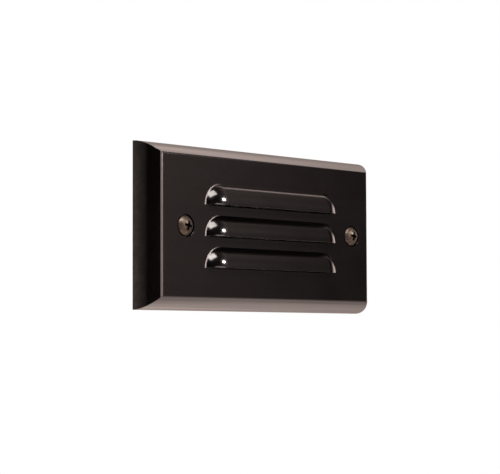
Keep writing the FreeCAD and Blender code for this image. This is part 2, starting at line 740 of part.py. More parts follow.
def make_rear_hub():
    """Round hub on the box's back: a neck in the floor's hole and a wider threaded end."""
    body = new_body("rear_hub")
    outline = new_sketch(body, "XY_Plane")
    add_loop(outline, [
        ("hub_bore / 2", BOX_FLOOR),
        ("hub_neck / 2", BOX_FLOOR),
        ("hub_neck / 2", "box_depth"),
        ("hub_diameter / 2", "box_depth"),
        ("hub_diameter / 2", "box_depth + hub_length"),
        ("hub_bore / 2", "box_depth + hub_length"),
    ])
    turn(body, outline, "V_Axis")
    return body


def make_cord_bushing():
    """Rubber bushing: a flange inside the box and a sleeve through the hub."""
    body = new_body("cord_bushing")
    inner = "cord_hole / 2"
    sleeve = "(hub_bore / 2 - fit_gap)"
    outline = new_sketch(body, "XY_Plane")
    add_loop(outline, [
        (inner, f"{BOX_FLOOR} - bushing_flange_thickness"),
        ("bushing_flange / 2", f"{BOX_FLOOR} - bushing_flange_thickness"),
        ("bushing_flange / 2", BOX_FLOOR),
        (sleeve, BOX_FLOOR),
        (sleeve, "box_depth + hub_length"),
        (inner, "box_depth + hub_length"),
    ])
    turn(body, outline, "V_Axis")
    return body


# ---------------------------------------------------------------- reflector and lamp

def reflector_side(sign, extra):
    """Corners from the flat of the trough round one bend to its mouth."""
    bend = f"({REFLECTOR_BEND} + {extra})"
    return [
        (f"{REFLECTOR_FLOOR} + {extra}", f"{sign} * {REFLECTOR_FLAT}", f"{sign} * {bend}"),
        (f"{REFLECTOR_FLOOR} - {REFLECTOR_BEND}", f"{sign} * ({REFLECTOR_FLAT} + {bend})"),
        ("reflector_mouth", f"{sign} * ({REFLECTOR_FLAT} + {bend})"),
    ]


def flip_run(corners):
    """The same open run of corners walked the other way, with its arcs turned."""
    places = [corner[:2] for corner in corners][::-1]
    arcs = [corner[2:] for corner in corners[:-1]][::-1] + [()]
    return [(*at, *(f"-1 * {r}" for r in arc)) for at, arc in zip(places, arcs)]


def make_reflector():
    """Bent trough round the lamp, with a slot for the bracket and two screw holes."""
    body = new_body("reflector")
    section = new_sketch(body, "YZ_Plane")
    outer = flip_run(reflector_side(-1, "reflector_sheet")) + reflector_side(1, "reflector_sheet")
    inner = flip_run(reflector_side(1, "0")) + reflector_side(-1, "0")
    add_loop(section, outer + inner)
    pad(body, section, f"{REFLECTOR_LEFT} + {REFLECTOR_RIGHT}", both_ways=True)
    section.setExpression("AttachmentOffset.Base.z", sized(f"({REFLECTOR_RIGHT} - {REFLECTOR_LEFT}) / 2"))
    slot = new_sketch(body, "XZ_Plane", offset=f"-{BOX_FLOOR}")
    add_rectangle(slot, "(bracket_sheet / 2 + lens_gap)", "(bracket_half_width + lens_gap)", "0",
                  f"{BRACKET_AT} + bracket_sheet / 2")
    pocket(body, slot, "box_depth / 2", back=True)
    holes = new_sketch(body, "XZ_Plane", offset=f"-{BOX_FLOOR}")
    for x in ("-reflector_screw_left", REFLECTOR_SCREW_RIGHT):
        add_circle(holes, "small_screw / 2 + fit_gap", x)
    pocket(body, holes, "box_depth / 2", back=True)
    return body


def make_reflector_screws():
    """The two screws that hold the trough to its posts."""
    items = []
    for name, x in (("left", "-reflector_screw_left"), ("right", REFLECTOR_SCREW_RIGHT)):
        items.append(small_screw_body("reflector_screw_" + name, "small_screw_length", x,
                                      REFLECTOR_FLOOR, "0"))
    group = doc.addObject("Part::Compound", "reflector_screws")
    group.Links = items
    return group


def make_lamp_envelope():
    """Hollow glass bulb along -X from its base, closed by the flat press for the socket."""
    body = new_body("lamp_envelope")
    outer, inner = "(bulb_diameter / 2)", "(bulb_diameter / 2 - bulb_wall)"
    skin = new_sketch(body, "XY_Plane")
    add_loop(skin, [
        ("0", "0"),
        ("0", f"{outer} - bulb_wall"),
        ("-bulb_wall", outer),
        (f"-bulb_length + {outer}", outer, outer),
        ("-bulb_length", "0"),
    ])
    turn(body, skin, "H_Axis")
    hollow = new_sketch(body, "XY_Plane")
    add_loop(hollow, [
        ("-3 * bulb_wall", "0"),
        ("-3 * bulb_wall", inner),
        (f"-bulb_length + {outer}", inner),
        ("-bulb_length + 3 * bulb_wall", f"{inner} / 3"),
        ("-bulb_length + 3 * bulb_wall", "0"),
    ])
    turn(body, hollow, "H_Axis", "Groove")
    press = new_sketch(body, "YZ_Plane", offset="-bulb_wall")
    add_rectangle(press, "(press_thickness / 2)", "(press_width / 2)", "0")
    pad(body, press, "press_length + bulb_wall")
    place(body, BULB_BASE, LAMP_AXIS)
    return body


def make_lamp_base_wires():
    """Two wires, one up each flat of the press."""
    wires = []
    for name, side in (("front", -1), ("back", 1)):
        wires.append(wire_along_x("base_wire_" + name, "base_wire",
                                  (f"{BULB_BASE} + base_wire_start", f"{BULB_BASE} + press_length"),
                                  f"{LAMP_AXIS} + {side} * (press_thickness + base_wire) / 2",
                                  f"{-side} * base_wire_offset"))
    group = doc.addObject("Part::Compound", "lamp_base_wires")
    group.Links = wires
    return group


def make_filament_posts():
    """The two support wires that rise from the press inside the bulb."""
    ends = (f"{BULB_BASE} - filament_at", f"{BULB_BASE} - 3 * bulb_wall")
    posts = [wire_along_x("filament_post_" + name, "post_wire", ends, LAMP_AXIS,
                          f"{sign} * filament_half")
             for name, sign in (("low", -1), ("high", 1))]
    group = doc.addObject("Part::Compound", "filament_posts")
    group.Links = posts
    return group


def make_lamp_filament():
    """The filament from one post's tip to the other's."""
    half = "(filament_half + post_wire / 2)"
    item = fine_wire("lamp_filament", "filament_wire", f"-{half}", half)
    place(item, f"{BULB_BASE} - filament_at - filament_wire / 2", LAMP_AXIS, f"-{half}")
    return item


def make_lamp_socket():
    """Round snap-in socket: nose through the bracket, collar behind it, slot for the press."""
    behind = f"{BRACKET_AT} + bracket_sheet"
    nose = rod("socket_nose_rod", "socket_nose_diameter / 2", (NOSE_END, f"{SOCKET_END} - near_gap"),
               LAMP_AXIS)
    collar = rod("socket_collar_disc", "socket_collar_diameter / 2", (behind, f"{behind} + socket_collar"),
                 LAMP_AXIS)
    tail = rod("socket_tail_rod", "socket_tail_diameter / 2", (behind, SOCKET_END), LAMP_AXIS)
    tabs = [box("socket_tab_" + name,
                (f"{BRACKET_AT} - 2 * bracket_sheet", f"{BRACKET_AT} - near_gap"),
                (f"{LAMP_AXIS} - bracket_sheet", f"{LAMP_AXIS} + bracket_sheet"),
                (f"{edge} - 0.5 * bracket_sheet", f"{edge} + 0.5 * bracket_sheet"))
            for name, edge in (("low", "-socket_nose_diameter / 2"), ("high", "socket_nose_diameter / 2"))]
    solid = fuse("socket_solid", [nose, collar, tail] + tabs)
    slot_floor = f"{NOSE_END} + socket_slot_depth"
    slot = box("socket_slot", (f"{NOSE_END} - near_gap", slot_floor),
               (f"{LAMP_AXIS} - socket_slot_thickness / 2", f"{LAMP_AXIS} + socket_slot_thickness / 2"),
               ("-socket_slot_width / 2", "socket_slot_width / 2"))
    channels = [box("socket_channel_" + name, (f"{slot_floor} - near_gap", CONTACT_END),
                    (f"{low} - fit_gap", f"{low} + contact_thickness + fit_gap"),
                    (f"{across} - contact_width / 2 - fit_gap", f"{across} + contact_width / 2 + fit_gap"))
                for name, low, across in contact_places()]
    return cut("lamp_socket", solid, [slot] + channels)


def contact_places():
    """Name, lowest Y and middle Z of the two contact strips."""
    reach = "(press_thickness / 2 + base_wire + fit_gap)"
    return (("front", f"{LAMP_AXIS} - {reach} - contact_thickness", "base_wire_offset"),
            ("back", f"{LAMP_AXIS} + {reach}", "-base_wire_offset"))


def make_socket_contacts():
    """The two brass strips that touch the lamp's base wires."""
    return [box("socket_contact_" + name, (f"{NOSE_END} + contact_setback", CONTACT_END),
                (low, f"{low} + contact_thickness"),
                (f"{across} - contact_width / 2", f"{across} + contact_width / 2"))
            for name, low, across in contact_places()]


def make_socket_bracket():
    """Sheet bracket: an upright with a round hole and a foot on the box floor."""
    body = new_body("socket_bracket")
    bend = "(2 * bracket_sheet)"
    top = f"({LAMP_AXIS} - socket_nose_diameter / 2 - near_gap - bracket_margin)"
    foot_end = f"({BRACKET_AT} + bracket_foot)"
    side = new_sketch(body, "XY_Plane")
    add_loop(side, [
        (BRACKET_AT, top),
        (BRACKET_AT, f"{FOOT_FLOOR} - {bend}", f"-1 * {bend}"),
        (f"{BRACKET_AT} + {bend}", FOOT_FLOOR),
        (foot_end, FOOT_FLOOR),
        (foot_end, FOOT_TOP),
        (f"{BRACKET_AT} + {bend}", FOOT_TOP, "bracket_sheet"),
        (f"{BRACKET_AT} + bracket_sheet", f"{FOOT_FLOOR} - {bend}"),
        (f"{BRACKET_AT} + bracket_sheet", top),
    ])
    pad(body, side, "2 * bracket_half_width", both_ways=True)
    trims = new_sketch(body, "XZ_Plane", offset=f"-{BOX_FLOOR}")
    for sign in SIDES:
        add_rectangle(trims, f"((bracket_foot + {bend}) / 2)",
                      "((bracket_half_width - bracket_foot_half) / 2)", "0",
                      f"({BRACKET_AT} + bracket_foot / 2)",
                      f"{sign} * (bracket_half_width + bracket_foot_half) / 2")
    pocket(body, trims, f"{BOX_FLOOR} - {LAMP_AXIS} - socket_nose_diameter / 2 - bracket_margin",
           back=True)
    hole = new_sketch(body, "YZ_Plane", offset=BRACKET_AT)
    add_circle(hole, "socket_nose_diameter / 2 + near_gap", LAMP_AXIS)
    pocket(body, hole, "bracket_sheet", back=True)
    screw = new_sketch(body, "XZ_Plane", offset=f"-{BOX_FLOOR}")
    add_circle(screw, "small_screw / 2 + fit_gap", BRACKET_SCREW)
    pocket(body, screw, "box_depth / 4", back=True)
    return body


def make_bracket_screw():
    """The screw in the bracket's foot."""
    return small_screw_body("bracket_screw", "small_screw_length", BRACKET_SCREW, FOOT_TOP, "0")


# ---------------------------------------------------------------- terminal block and leads

def pole_places():
    """Z of the two poles of the terminal block."""
    return (f"{BLOCK_Z} - block_pitch / 2", f"{BLOCK_Z} + block_pitch / 2")


def make_terminal_block():
    """Moulded block with two wire ways along X and a screw well over each end of each."""
    body = new_body("terminal_block")
    base = new_sketch(body, "XZ_Plane", offset=f"-{BOX_FLOOR}")
    add_rectangle(base, "(block_length / 2)", "(block_width / 2)", "0", BLOCK_X, BLOCK_Z)
    pad(body, base, "block_height")
    ways = new_sketch(body, "YZ_Plane", offset=f"{BLOCK_X} - block_length / 2")
    for z in pole_places():
        add_rectangle(ways, "(sleeve_side / 2 + fit_gap)", "(sleeve_side / 2 + fit_gap)", "0", LEAD_LEVEL, z)
    pocket(body, ways, "block_length", back=True)
    wells = new_sketch(body, "XZ_Plane", offset=f"-{BLOCK_TOP}")
    for z in pole_places():
        for sign in SIDES:
            add_circle(wells, "terminal_well / 2", f"{BLOCK_X} + {sign} * terminal_screw_spacing / 2", z)
    pocket(body, wells, "block_height / 2")
    fixing = new_sketch(body, "XZ_Plane", offset=f"-{BLOCK_TOP}")
    add_circle(fixing, "terminal_screw / 4 + fit_gap", BLOCK_X, BLOCK_Z)
    pocket(body, fixing, "block_height")
    return body


def make_terminal_sleeves():
    """The two square brass sleeves that hold the wires' ends."""
    sleeves = []
    ends = (f"{BLOCK_X} - sleeve_length / 2", f"{BLOCK_X} + sleeve_length / 2")
    for name, z in zip(("low", "high"), pole_places()):
        bar = box("sleeve_bar_" + name, ends,
                  (f"{LEAD_LEVEL} - sleeve_side / 2", f"{LEAD_LEVEL} + sleeve_side / 2"),
                  (f"{z} - sleeve_side / 2", f"{z} + sleeve_side / 2"))
        bore = rod("sleeve_bore_" + name, "sleeve_bore / 2", ends, LEAD_LEVEL, z)
        sleeves.append(cut("sleeve_" + name, bar, [bore]))
    group = doc.addObject("Part::Compound", "terminal_sleeves")
    group.Links = sleeves
    return group


def make_terminal_screws():
    """The four clamping screws."""
    screws = []
    for z in pole_places():
        for sign in SIDES:
            screw = doc.addObject("Part::Cylinder", "terminal_screw_pin")
            screw.setExpression("Radius", sized("terminal_screw / 2"))
            screw.setExpression("Height", sized("(block_height - sleeve_side) / 2 - near_gap"))
            screw.Placement = FreeCAD.Placement(Vector(), FreeCAD.Rotation(Vector(1, 0, 0), 90))
            place(screw, f"{BLOCK_X} + {sign} * terminal_screw_spacing / 2",
                  f"{LEAD_LEVEL} - sleeve_side / 2", z)
            screws.append(screw)
    group = doc.addObject("Part::Compound", "terminal_screws")
    group.Links = screws
    return group


def make_terminal_block_screw():
    """The long pin screw between the poles that holds the block down."""
    body = new_body("terminal_block_screw")
    outline = new_sketch(body, "XY_Plane")
    add_loop(outline, [
        ("0", "block_height + box_wall / 2 - near_gap"),
        ("0", "-terminal_screw / 2"),
        ("-terminal_screw / 2", "-terminal_screw / 2"),
        ("-terminal_screw / 2", "0"),
        ("-terminal_screw / 4", "0"),
        ("-terminal_screw / 4", "block_height + box_wall / 2 - near_gap"),
    ])
    turn(body, outline, "V_Axis")
    place(body, BLOCK_X, BLOCK_TOP, BLOCK_Z)
    return body


def make_lead(label, contact, turn_at, pole):
    """Insulated lead from a contact's end, round the reflector's end, to its pole.

    Straight runs are joined by tangent arcs, and the section has a few flat sides.
    """
    _, low, across = contact
    points = [
        Vector(number(CONTACT_END), number(f"{low} + contact_thickness / 2"), number(across)),
        Vector(number(turn_at), number(f"{low} + contact_thickness / 2"), number(across)),
        Vector(number(turn_at), number(LEAD_LEVEL), number(pole)),
        Vector(number(f"{BLOCK_X} + sleeve_length / 2"), number(LEAD_LEVEL), number(pole)),
    ]
    edges, start = [], points[0]
    for before, corner, after in zip(points, points[1:], points[2:]):
        towards, away = (before - corner).normalize(), (after - corner).normalize()
        half_turn = (math.pi - towards.getAngle(away)) / 2
        room = 0.45 * min((corner - before).Length, (after - corner).Length) / math.tan(half_turn)
        radius = min(number("lead_bend"), room)
        trim = radius * math.tan(half_turn)
        enter, leave = corner + towards * trim, corner + away * trim
        middle_way = (towards + away).normalize()
        middle = corner + middle_way * (radius / math.cos(half_turn) - radius)
        edges += [Part.LineSegment(start, enter).toShape(), Part.Arc(enter, middle, leave).toShape()]
        start = leave
        print(f"{label}: bend radius {radius:.2f} mm")
    edges.append(Part.LineSegment(start, points[-1]).toShape())
    path = Part.Wire(edges)
    radius = number("lead_diameter / 2")
    turns = [2 * math.pi * i / WIRE_SIDES for i in range(WIRE_SIDES + 1)]
    ring = Part.makePolygon([points[0] + Vector(0, math.cos(t), math.sin(t)) * radius for t in turns])
    item = doc.addObject("Part::Feature", label)
    item.Shape = path.makePipeShell([ring], True, False)
    section = WIRE_SIDES / 2 * math.sin(2 * math.pi / WIRE_SIDES) * radius ** 2
    print(f"{label}: volume over section times length {item.Shape.Volume / section / path.Length:.4f}")
    return item


# ---------------------------------------------------------------- build and write

def build_parts():
    """Every node of the light."""
    parts = [make_faceplate()]
    for side, name in zip(SIDES, ("left", "right")):
        parts += [make_faceplate_screw(side, name), make_retaining_washer(side, name)]
    parts += [make_faceplate_gasket(), make_lens_gasket(), make_lens(), make_lens_retainer(),
              make_lens_retainer_screws()]
    parts += [make_housing(), make_rear_hub(), make_cord_bushing(), make_reflector(),
              make_reflector_screws()]
    parts += [make_lamp_envelope(), make_lamp_base_wires(), make_filament_posts(), make_lamp_filament()]
    parts += [make_lamp_socket(), *make_socket_contacts(), make_socket_bracket(), make_bracket_screw()]
    parts += [make_terminal_block(), make_terminal_sleeves(), make_terminal_screws(),
              make_terminal_block_screw()]
    front, back = contact_places()
    low, high = pole_places()
    parts += [make_lead("lead_black", back, BLACK_TURN, high),
              make_lead("lead_white", front, WHITE_TURN, low)]
    return parts


def write_parts(parts):
    """Check every object and write one file a node."""
    doc.recompute()
    for item in doc.Objects:
        if {"Invalid", "Error"} & set(item.State):
            raise RuntimeError(f"{item.Label} failed: {item.State}")
    os.makedirs("parts", exist_ok=True)
    for item in parts:
        shape = item.Shape
        if shape.isNull() or not shape.isValid():
            raise RuntimeError(f"{item.Label} is not a valid solid")
        print(f"{item.Label}: {len(shape.Solids)} solids, {shape.Volume:.1f} mm3")
        shape.exportStep(os.path.join("parts", item.Label + ".step"))


write_parts(build_parts())
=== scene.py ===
"""Looks of a recessed step light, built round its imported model.

Metres throughout: X runs to the right along the plate, Y into the wall and Z up.
The wall plane is Y = 0 and the plate's face looks along -Y.
"""

import json
import logging
import math
from abc import ABC, abstractmethod
from collections.abc import Callable, Sequence
from dataclasses import dataclass
from enum import Enum

import bmesh
import bpy
from mathutils import Matrix, Vector


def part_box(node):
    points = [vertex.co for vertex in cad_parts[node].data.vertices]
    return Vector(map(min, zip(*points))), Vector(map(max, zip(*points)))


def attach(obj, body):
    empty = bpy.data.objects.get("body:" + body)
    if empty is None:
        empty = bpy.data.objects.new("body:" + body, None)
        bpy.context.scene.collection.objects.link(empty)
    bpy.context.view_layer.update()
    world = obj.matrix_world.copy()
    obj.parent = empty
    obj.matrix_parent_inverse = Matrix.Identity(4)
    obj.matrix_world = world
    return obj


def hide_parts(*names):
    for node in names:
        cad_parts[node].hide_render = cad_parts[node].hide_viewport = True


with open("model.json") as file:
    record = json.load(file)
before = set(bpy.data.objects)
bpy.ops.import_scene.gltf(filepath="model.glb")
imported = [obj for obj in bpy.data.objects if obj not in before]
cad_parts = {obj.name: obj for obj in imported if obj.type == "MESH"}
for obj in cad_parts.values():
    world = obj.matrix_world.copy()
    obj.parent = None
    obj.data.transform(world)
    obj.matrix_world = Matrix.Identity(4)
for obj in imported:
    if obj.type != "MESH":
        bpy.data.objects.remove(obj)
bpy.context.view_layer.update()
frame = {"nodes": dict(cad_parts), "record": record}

log = logging.getLogger("step_light")

Point = tuple[float, float]
Stops = Sequence[Point]
Triple = tuple[float, float, float]
Colour = Triple
Piece = bpy.types.Object
Socket = bpy.types.NodeSocket
Value = float | Colour | Socket

MM = 0.001
FULL_TURN = 2 * math.pi
QUARTER_TURN = math.pi / 2
RIGHT, BACK, UP = Vector((1, 0, 0)), Vector((0, 1, 0)), Vector((0, 0, 1))
WHITE = (1.0, 1.0, 1.0)

# Points closer than this are merged; in a wound ridge or wire, only the rings where two turns meet.
MERGE_DISTANCE = 2e-6
FINE_MERGE = MERGE_DISTANCE / 20

# Faces that differ by less than this angle are merged.
FLAT_ANGLE = math.radians(0.5)

# A face whose normal has more than this share along an axis is square to it.
SQUARE_ON = 0.9995

# Edges that turn by fewer degrees than these are shaded smooth.
SMOOTH_CAST = 32.0
SMOOTH_EASED = 38.0
SMOOTH_TURNED = 40.0
SMOOTH_WIRE = 60.0


# ------------------------------------------------------------------ choices

class Body(Enum):
    """The moving groups of the light."""

    HOUSING = "housing"
    PLATE = "plate"
    LAMP = "lamp"
    SCREW_LEFT = "screw_left"
    SCREW_RIGHT = "screw_right"
    WASHER_LEFT = "washer_left"
    WASHER_RIGHT = "washer_right"


class Recess(Enum):
    """How a small screw is driven."""

    CROSS = "cross"
    SLOT = "slot"


class Side(Enum):
    """Left or right along X."""

    LEFT = -1
    RIGHT = 1


SIDES = tuple(side.value for side in Side)


# ------------------------------------------------------------------ modelling by hand

def clear_selection() -> None:
    """Leave edit mode and deselect everything."""
    if bpy.context.object and bpy.context.object.mode != "OBJECT":
        bpy.ops.object.mode_set(mode="OBJECT")
    bpy.ops.object.select_all(action="DESELECT")


def focus(piece: Piece) -> None:
    """Make a piece the only selected and active one.

    Args:
        piece: the object to work on.
    """
    clear_selection()
    piece.select_set(True)
    bpy.context.view_layer.objects.active = piece


def edit(piece: Piece) -> None:
    """Enter edit mode on a piece with its whole mesh selected.

    Args:
        piece: the object to edit.
    """
    focus(piece)
    bpy.ops.object.mode_set(mode="EDIT")
    bpy.ops.mesh.select_all(action="SELECT")


def leave_edit(piece: Piece) -> Piece:
    """Merge doubles, turn the faces outwards and leave edit mode.

    Args:
        piece: the object being edited.

    Returns:
        The same object.
    """
    bpy.ops.mesh.select_mode(type="VERT")
    bpy.ops.mesh.select_all(action="SELECT")
    bpy.ops.mesh.remove_doubles(threshold=MERGE_DISTANCE)
    bpy.ops.mesh.dissolve_degenerate(threshold=MERGE_DISTANCE / 2)
    bpy.ops.mesh.normals_make_consistent(inside=False)
    bpy.ops.object.mode_set(mode="OBJECT")
    return piece


def pick_by(kind: str) -> None:
    """Deselect everything in edit mode and go on by VERT, EDGE or FACE."""
    bpy.ops.mesh.select_mode(type=kind)
    bpy.ops.mesh.select_all(action="DESELECT")


def select_faces(piece: Piece, test: Callable[[Vector, Vector], bool]) -> None:
    """Select, in edit mode, only the faces that pass a test.

    Args:
        piece: the object being edited.
        test: called with a face's centre and normal.
    """
    pick_by("FACE")
    mesh = bmesh.from_edit_mesh(piece.data)
    for face in mesh.faces:
        face.select_set(test(face.calc_center_median(), face.normal))
    bmesh.update_edit_mesh(piece.data)


def select_edges(piece: Piece, test: Callable[[Vector], bool]) -> None:
    """Select, in edit mode, only the edges whose two ends pass a test.

    Args:
        piece: the object being edited.
        test: called with the place of an end.
    """
    pick_by("EDGE")
    mesh = bmesh.from_edit_mesh(piece.data)
    for edge in mesh.edges:
        edge.select_set(all(test(vertex.co) for vertex in edge.verts))
    bmesh.update_edit_mesh(piece.data)


def extrude(shift: Vector) -> None:
    """Extrude, in edit mode, what is selected, and move it."""
    bpy.ops.mesh.extrude_region_move(TRANSFORM_OT_translate={"value": shift})


def add_rectangle(name: str, middle: Vector, width: float, height: float, upright: bool = False) -> Piece:
    """Add a plane with its size and place in its mesh.

    Args:
        name: the new object's name.
        middle: where its middle is.
        width: its size along X.
        height: its size along Y, or along Z if it stands.
        upright: whether it stands like the plate instead of lying flat.

    Returns:
        The rectangle, in object mode.
    """
    clear_selection()
    bpy.ops.mesh.primitive_plane_add(size=1.0, location=middle,
                                     rotation=(QUARTER_TURN if upright else 0.0, 0, 0))
    piece = bpy.context.object
    piece.name = name
    piece.scale = (width, height, 1.0)
    bpy.ops.object.transform_apply(location=True, rotation=True, scale=True)
    return piece


def draw_outline(name: str, points: Sequence[Vector], closed: bool = True) -> Piece:
    """Start from a small plane merged to one point and extrude it from point to point.

    Args:
        name: the new object's name.
        points: the outline's corners in order.
        closed: whether the outline is joined up and filled.

    Returns:
        The object, still in edit mode with everything selected.
    """
    piece = add_rectangle(name, points[0], MM, MM)
    bpy.ops.object.mode_set(mode="EDIT")
    bpy.ops.mesh.select_mode(type="VERT")
    bpy.ops.mesh.select_all(action="SELECT")
    bpy.ops.mesh.merge(type="CENTER")
    for here, there in zip(points, points[1:]):
        bpy.ops.mesh.extrude_vertices_move(TRANSFORM_OT_translate={"value": there - here})
    bpy.ops.mesh.select_all(action="SELECT")
    if closed:
        bpy.ops.mesh.edge_face_add()
    return piece


def turn_outline(name: str, profile: Sequence[Point], centre: Vector, axis: Vector, steps: int) -> Piece:
    """Turn a profile right round an axis.

    Args:
        name: the new object's name.
        profile: (radius, distance along the axis) from one end of the axis to the other, or a closed ring.
        centre: a point on the axis, where the distance is zero.
        axis: the axis' direction, square to X.
        steps: how many faces go round.

    Returns:
        The closed solid.
    """
    points = [centre + axis * along + RIGHT * radius for radius, along in profile]
    piece = draw_outline(name, points, closed=False)
    bpy.ops.mesh.spin(steps=steps, angle=FULL_TURN, center=centre, axis=axis)
    return leave_edit(piece)


def wind(section: Piece, centre: Vector, axis: Vector, turns: int, steps: int, advance: float) -> Piece:
    """Wind a flat section round an axis as a helix with closed ends.

    Args:
        section: the section, in edit mode.
        centre: a point on the axis.
        axis: the axis' direction.
        turns: how often it goes round.
        steps: spans a turn.
        advance: how far a turn moves it along the axis.

    Returns:
        The closed ridge or wire.
    """
    corners = len(bmesh.from_edit_mesh(section.data).verts)
    bpy.ops.mesh.select_mode(type="EDGE")
    bpy.ops.mesh.select_all(action="SELECT")
    bpy.ops.mesh.delete(type="ONLY_FACE")
    bpy.ops.mesh.select_all(action="SELECT")
    for _ in range(turns):
        bpy.ops.mesh.spin(steps=steps, angle=FULL_TURN, center=centre, axis=axis, use_auto_merge=False)
    bpy.ops.object.mode_set(mode="OBJECT")
    for index, vertex in enumerate(section.data.vertices):
        vertex.co += axis * (advance / steps * (index // corners))
    edit(section)
    bpy.ops.mesh.remove_doubles(threshold=FINE_MERGE)
    bpy.ops.mesh.select_all(action="DESELECT")
    bpy.ops.mesh.select_non_manifold()
    bpy.ops.mesh.fill_holes(sides=0)
    bpy.ops.mesh.select_all(action="SELECT")
    bpy.ops.mesh.normals_make_consistent(inside=False)
    bpy.ops.object.mode_set(mode="OBJECT")
    return section


def arc_points(centre: Point, radius: float, start: float, end: float, steps: int) -> list[Point]:
    """Points along an arc.

    Args:
        centre: the arc's centre.
        radius: its radius.
        start: the first point's angle in radians.
        end: the last point's angle.
        steps: how many spans it has.

    Returns:
        steps + 1 points.
    """
    angles = [start + (end - start) * i / steps for i in range(steps + 1)]
    return [(centre[0] + radius * math.cos(a), centre[1] + radius * math.sin(a)) for a in angles]


def apply_modifier(piece: Piece, kind: str, **settings: object) -> None:
    """Add a modifier and apply it at once.

    Args:
        piece: the object that it changes.
        kind: the modifier's type.
        settings: its properties by name.
    """
    focus(piece)
    modifier = piece.modifiers.new(kind.lower(), kind)
    for key, value in settings.items():
        setattr(modifier, key, value)
    bpy.ops.object.modifier_apply(modifier=modifier.name)


def combine(piece: Piece, tool: Piece, how: str) -> None:
    """Join a tool to a piece, or cut it away, and delete the tool.

    Args:
        piece: the object that stays.
        tool: the object that is used up.
        how: UNION or DIFFERENCE.
    """
    apply_modifier(piece, "BOOLEAN", operation=how, solver="EXACT", object=tool)
    bpy.data.objects.remove(tool)


def join_pieces(pieces: Sequence[Piece], name: str) -> Piece:
    """Join objects into one without changing their meshes.

    Args:
        pieces: the objects, the first of which stays.
        name: the result's name.

    Returns:
        The joined object.
    """
    focus(pieces[0])
    for piece in pieces[1:]:
        piece.select_set(True)
    if len(pieces) > 1:
        bpy.ops.object.join()
    pieces[0].name = name
    return pieces[0]


def duplicate(piece: Piece, shift: Vector) -> Piece:
    """Copy a piece with its mesh, and move the copy's mesh.

    Args:
        piece: the object to copy.
        shift: how far the copy lies from it.

    Returns:
        The copy.
    """
    twin = piece.copy()
    twin.data = piece.data.copy()
    bpy.context.scene.collection.objects.link(twin)
    twin.data.transform(Matrix.Translation(shift))
    return twin


def smooth(piece: Piece, degrees: float) -> Piece:
    """Shade a piece smooth up to an angle, with normals led by its large faces.

    Args:
        piece: the object to shade.
        degrees: edges sharper than this stay sharp.

    Returns:
        The same object.
    """
    focus(piece)
    bpy.ops.object.shade_smooth_by_angle(angle=math.radians(degrees))
    apply_modifier(piece, "WEIGHTED_NORMAL", keep_sharp=True, mode="FACE_AREA")
    return piece


def mark(piece: Piece, name: str, level: Callable[[Vector, Vector], float]) -> None:
    """Write a level for every face, for the finishes to read.

    Args:
        piece: the object to mark.
        name: the attribute's name.
        level: called with a face's centre and normal.
    """
    layer = piece.data.attributes.new(name, "FLOAT", "FACE")
    layer.data.foreach_set("value", [level(face.center, face.normal) for face in piece.data.polygons])


def merged_copy(node: str, name: str) -> Piece:
    """Copy a CAD node's mesh and merge its triangles into flat faces.

    Args:
        node: the CAD node.
        name: the new object's name.

    Returns:
        The copy, with the node's place in its mesh.
    """
    piece = bpy.data.objects.new(name, frame["nodes"][node].data.copy())
    bpy.context.scene.collection.objects.link(piece)
    edit(piece)
    bpy.ops.mesh.remove_doubles(threshold=MERGE_DISTANCE)
    bpy.ops.mesh.dissolve_limited(angle_limit=FLAT_ANGLE)
    bpy.ops.object.mode_set(mode="OBJECT")
    return piece


def islands(node: str) -> list[tuple[Vector, Vector]]:
    """Find where a CAD node's separate solids are.

    Args:
        node: the CAD node.

    Returns:
        Each solid's lowest and highest corner, from left to right and then upwards.
    """
    copy = merged_copy(node, node + "_islands")
    edit(copy)
    bpy.ops.mesh.separate(type="LOOSE")
    bpy.ops.object.mode_set(mode="OBJECT")
    boxes = []
    for piece in list(bpy.context.selected_objects):
        corners = [vertex.co for vertex in piece.data.vertices]
        boxes.append(tuple(Vector(edge(corner[i] for corner in corners) for i in range(3))
                           for edge in (min, max)))
        bpy.data.objects.remove(piece)
    return sorted(boxes, key=lambda box: (round(box[0].x / MM), round(box[0].z / MM)))


def middle_of(node: str) -> Vector:
    """The middle of a CAD node's box."""
    low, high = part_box(node)
    return (low + high) / 2


# ------------------------------------------------------------------ finishes

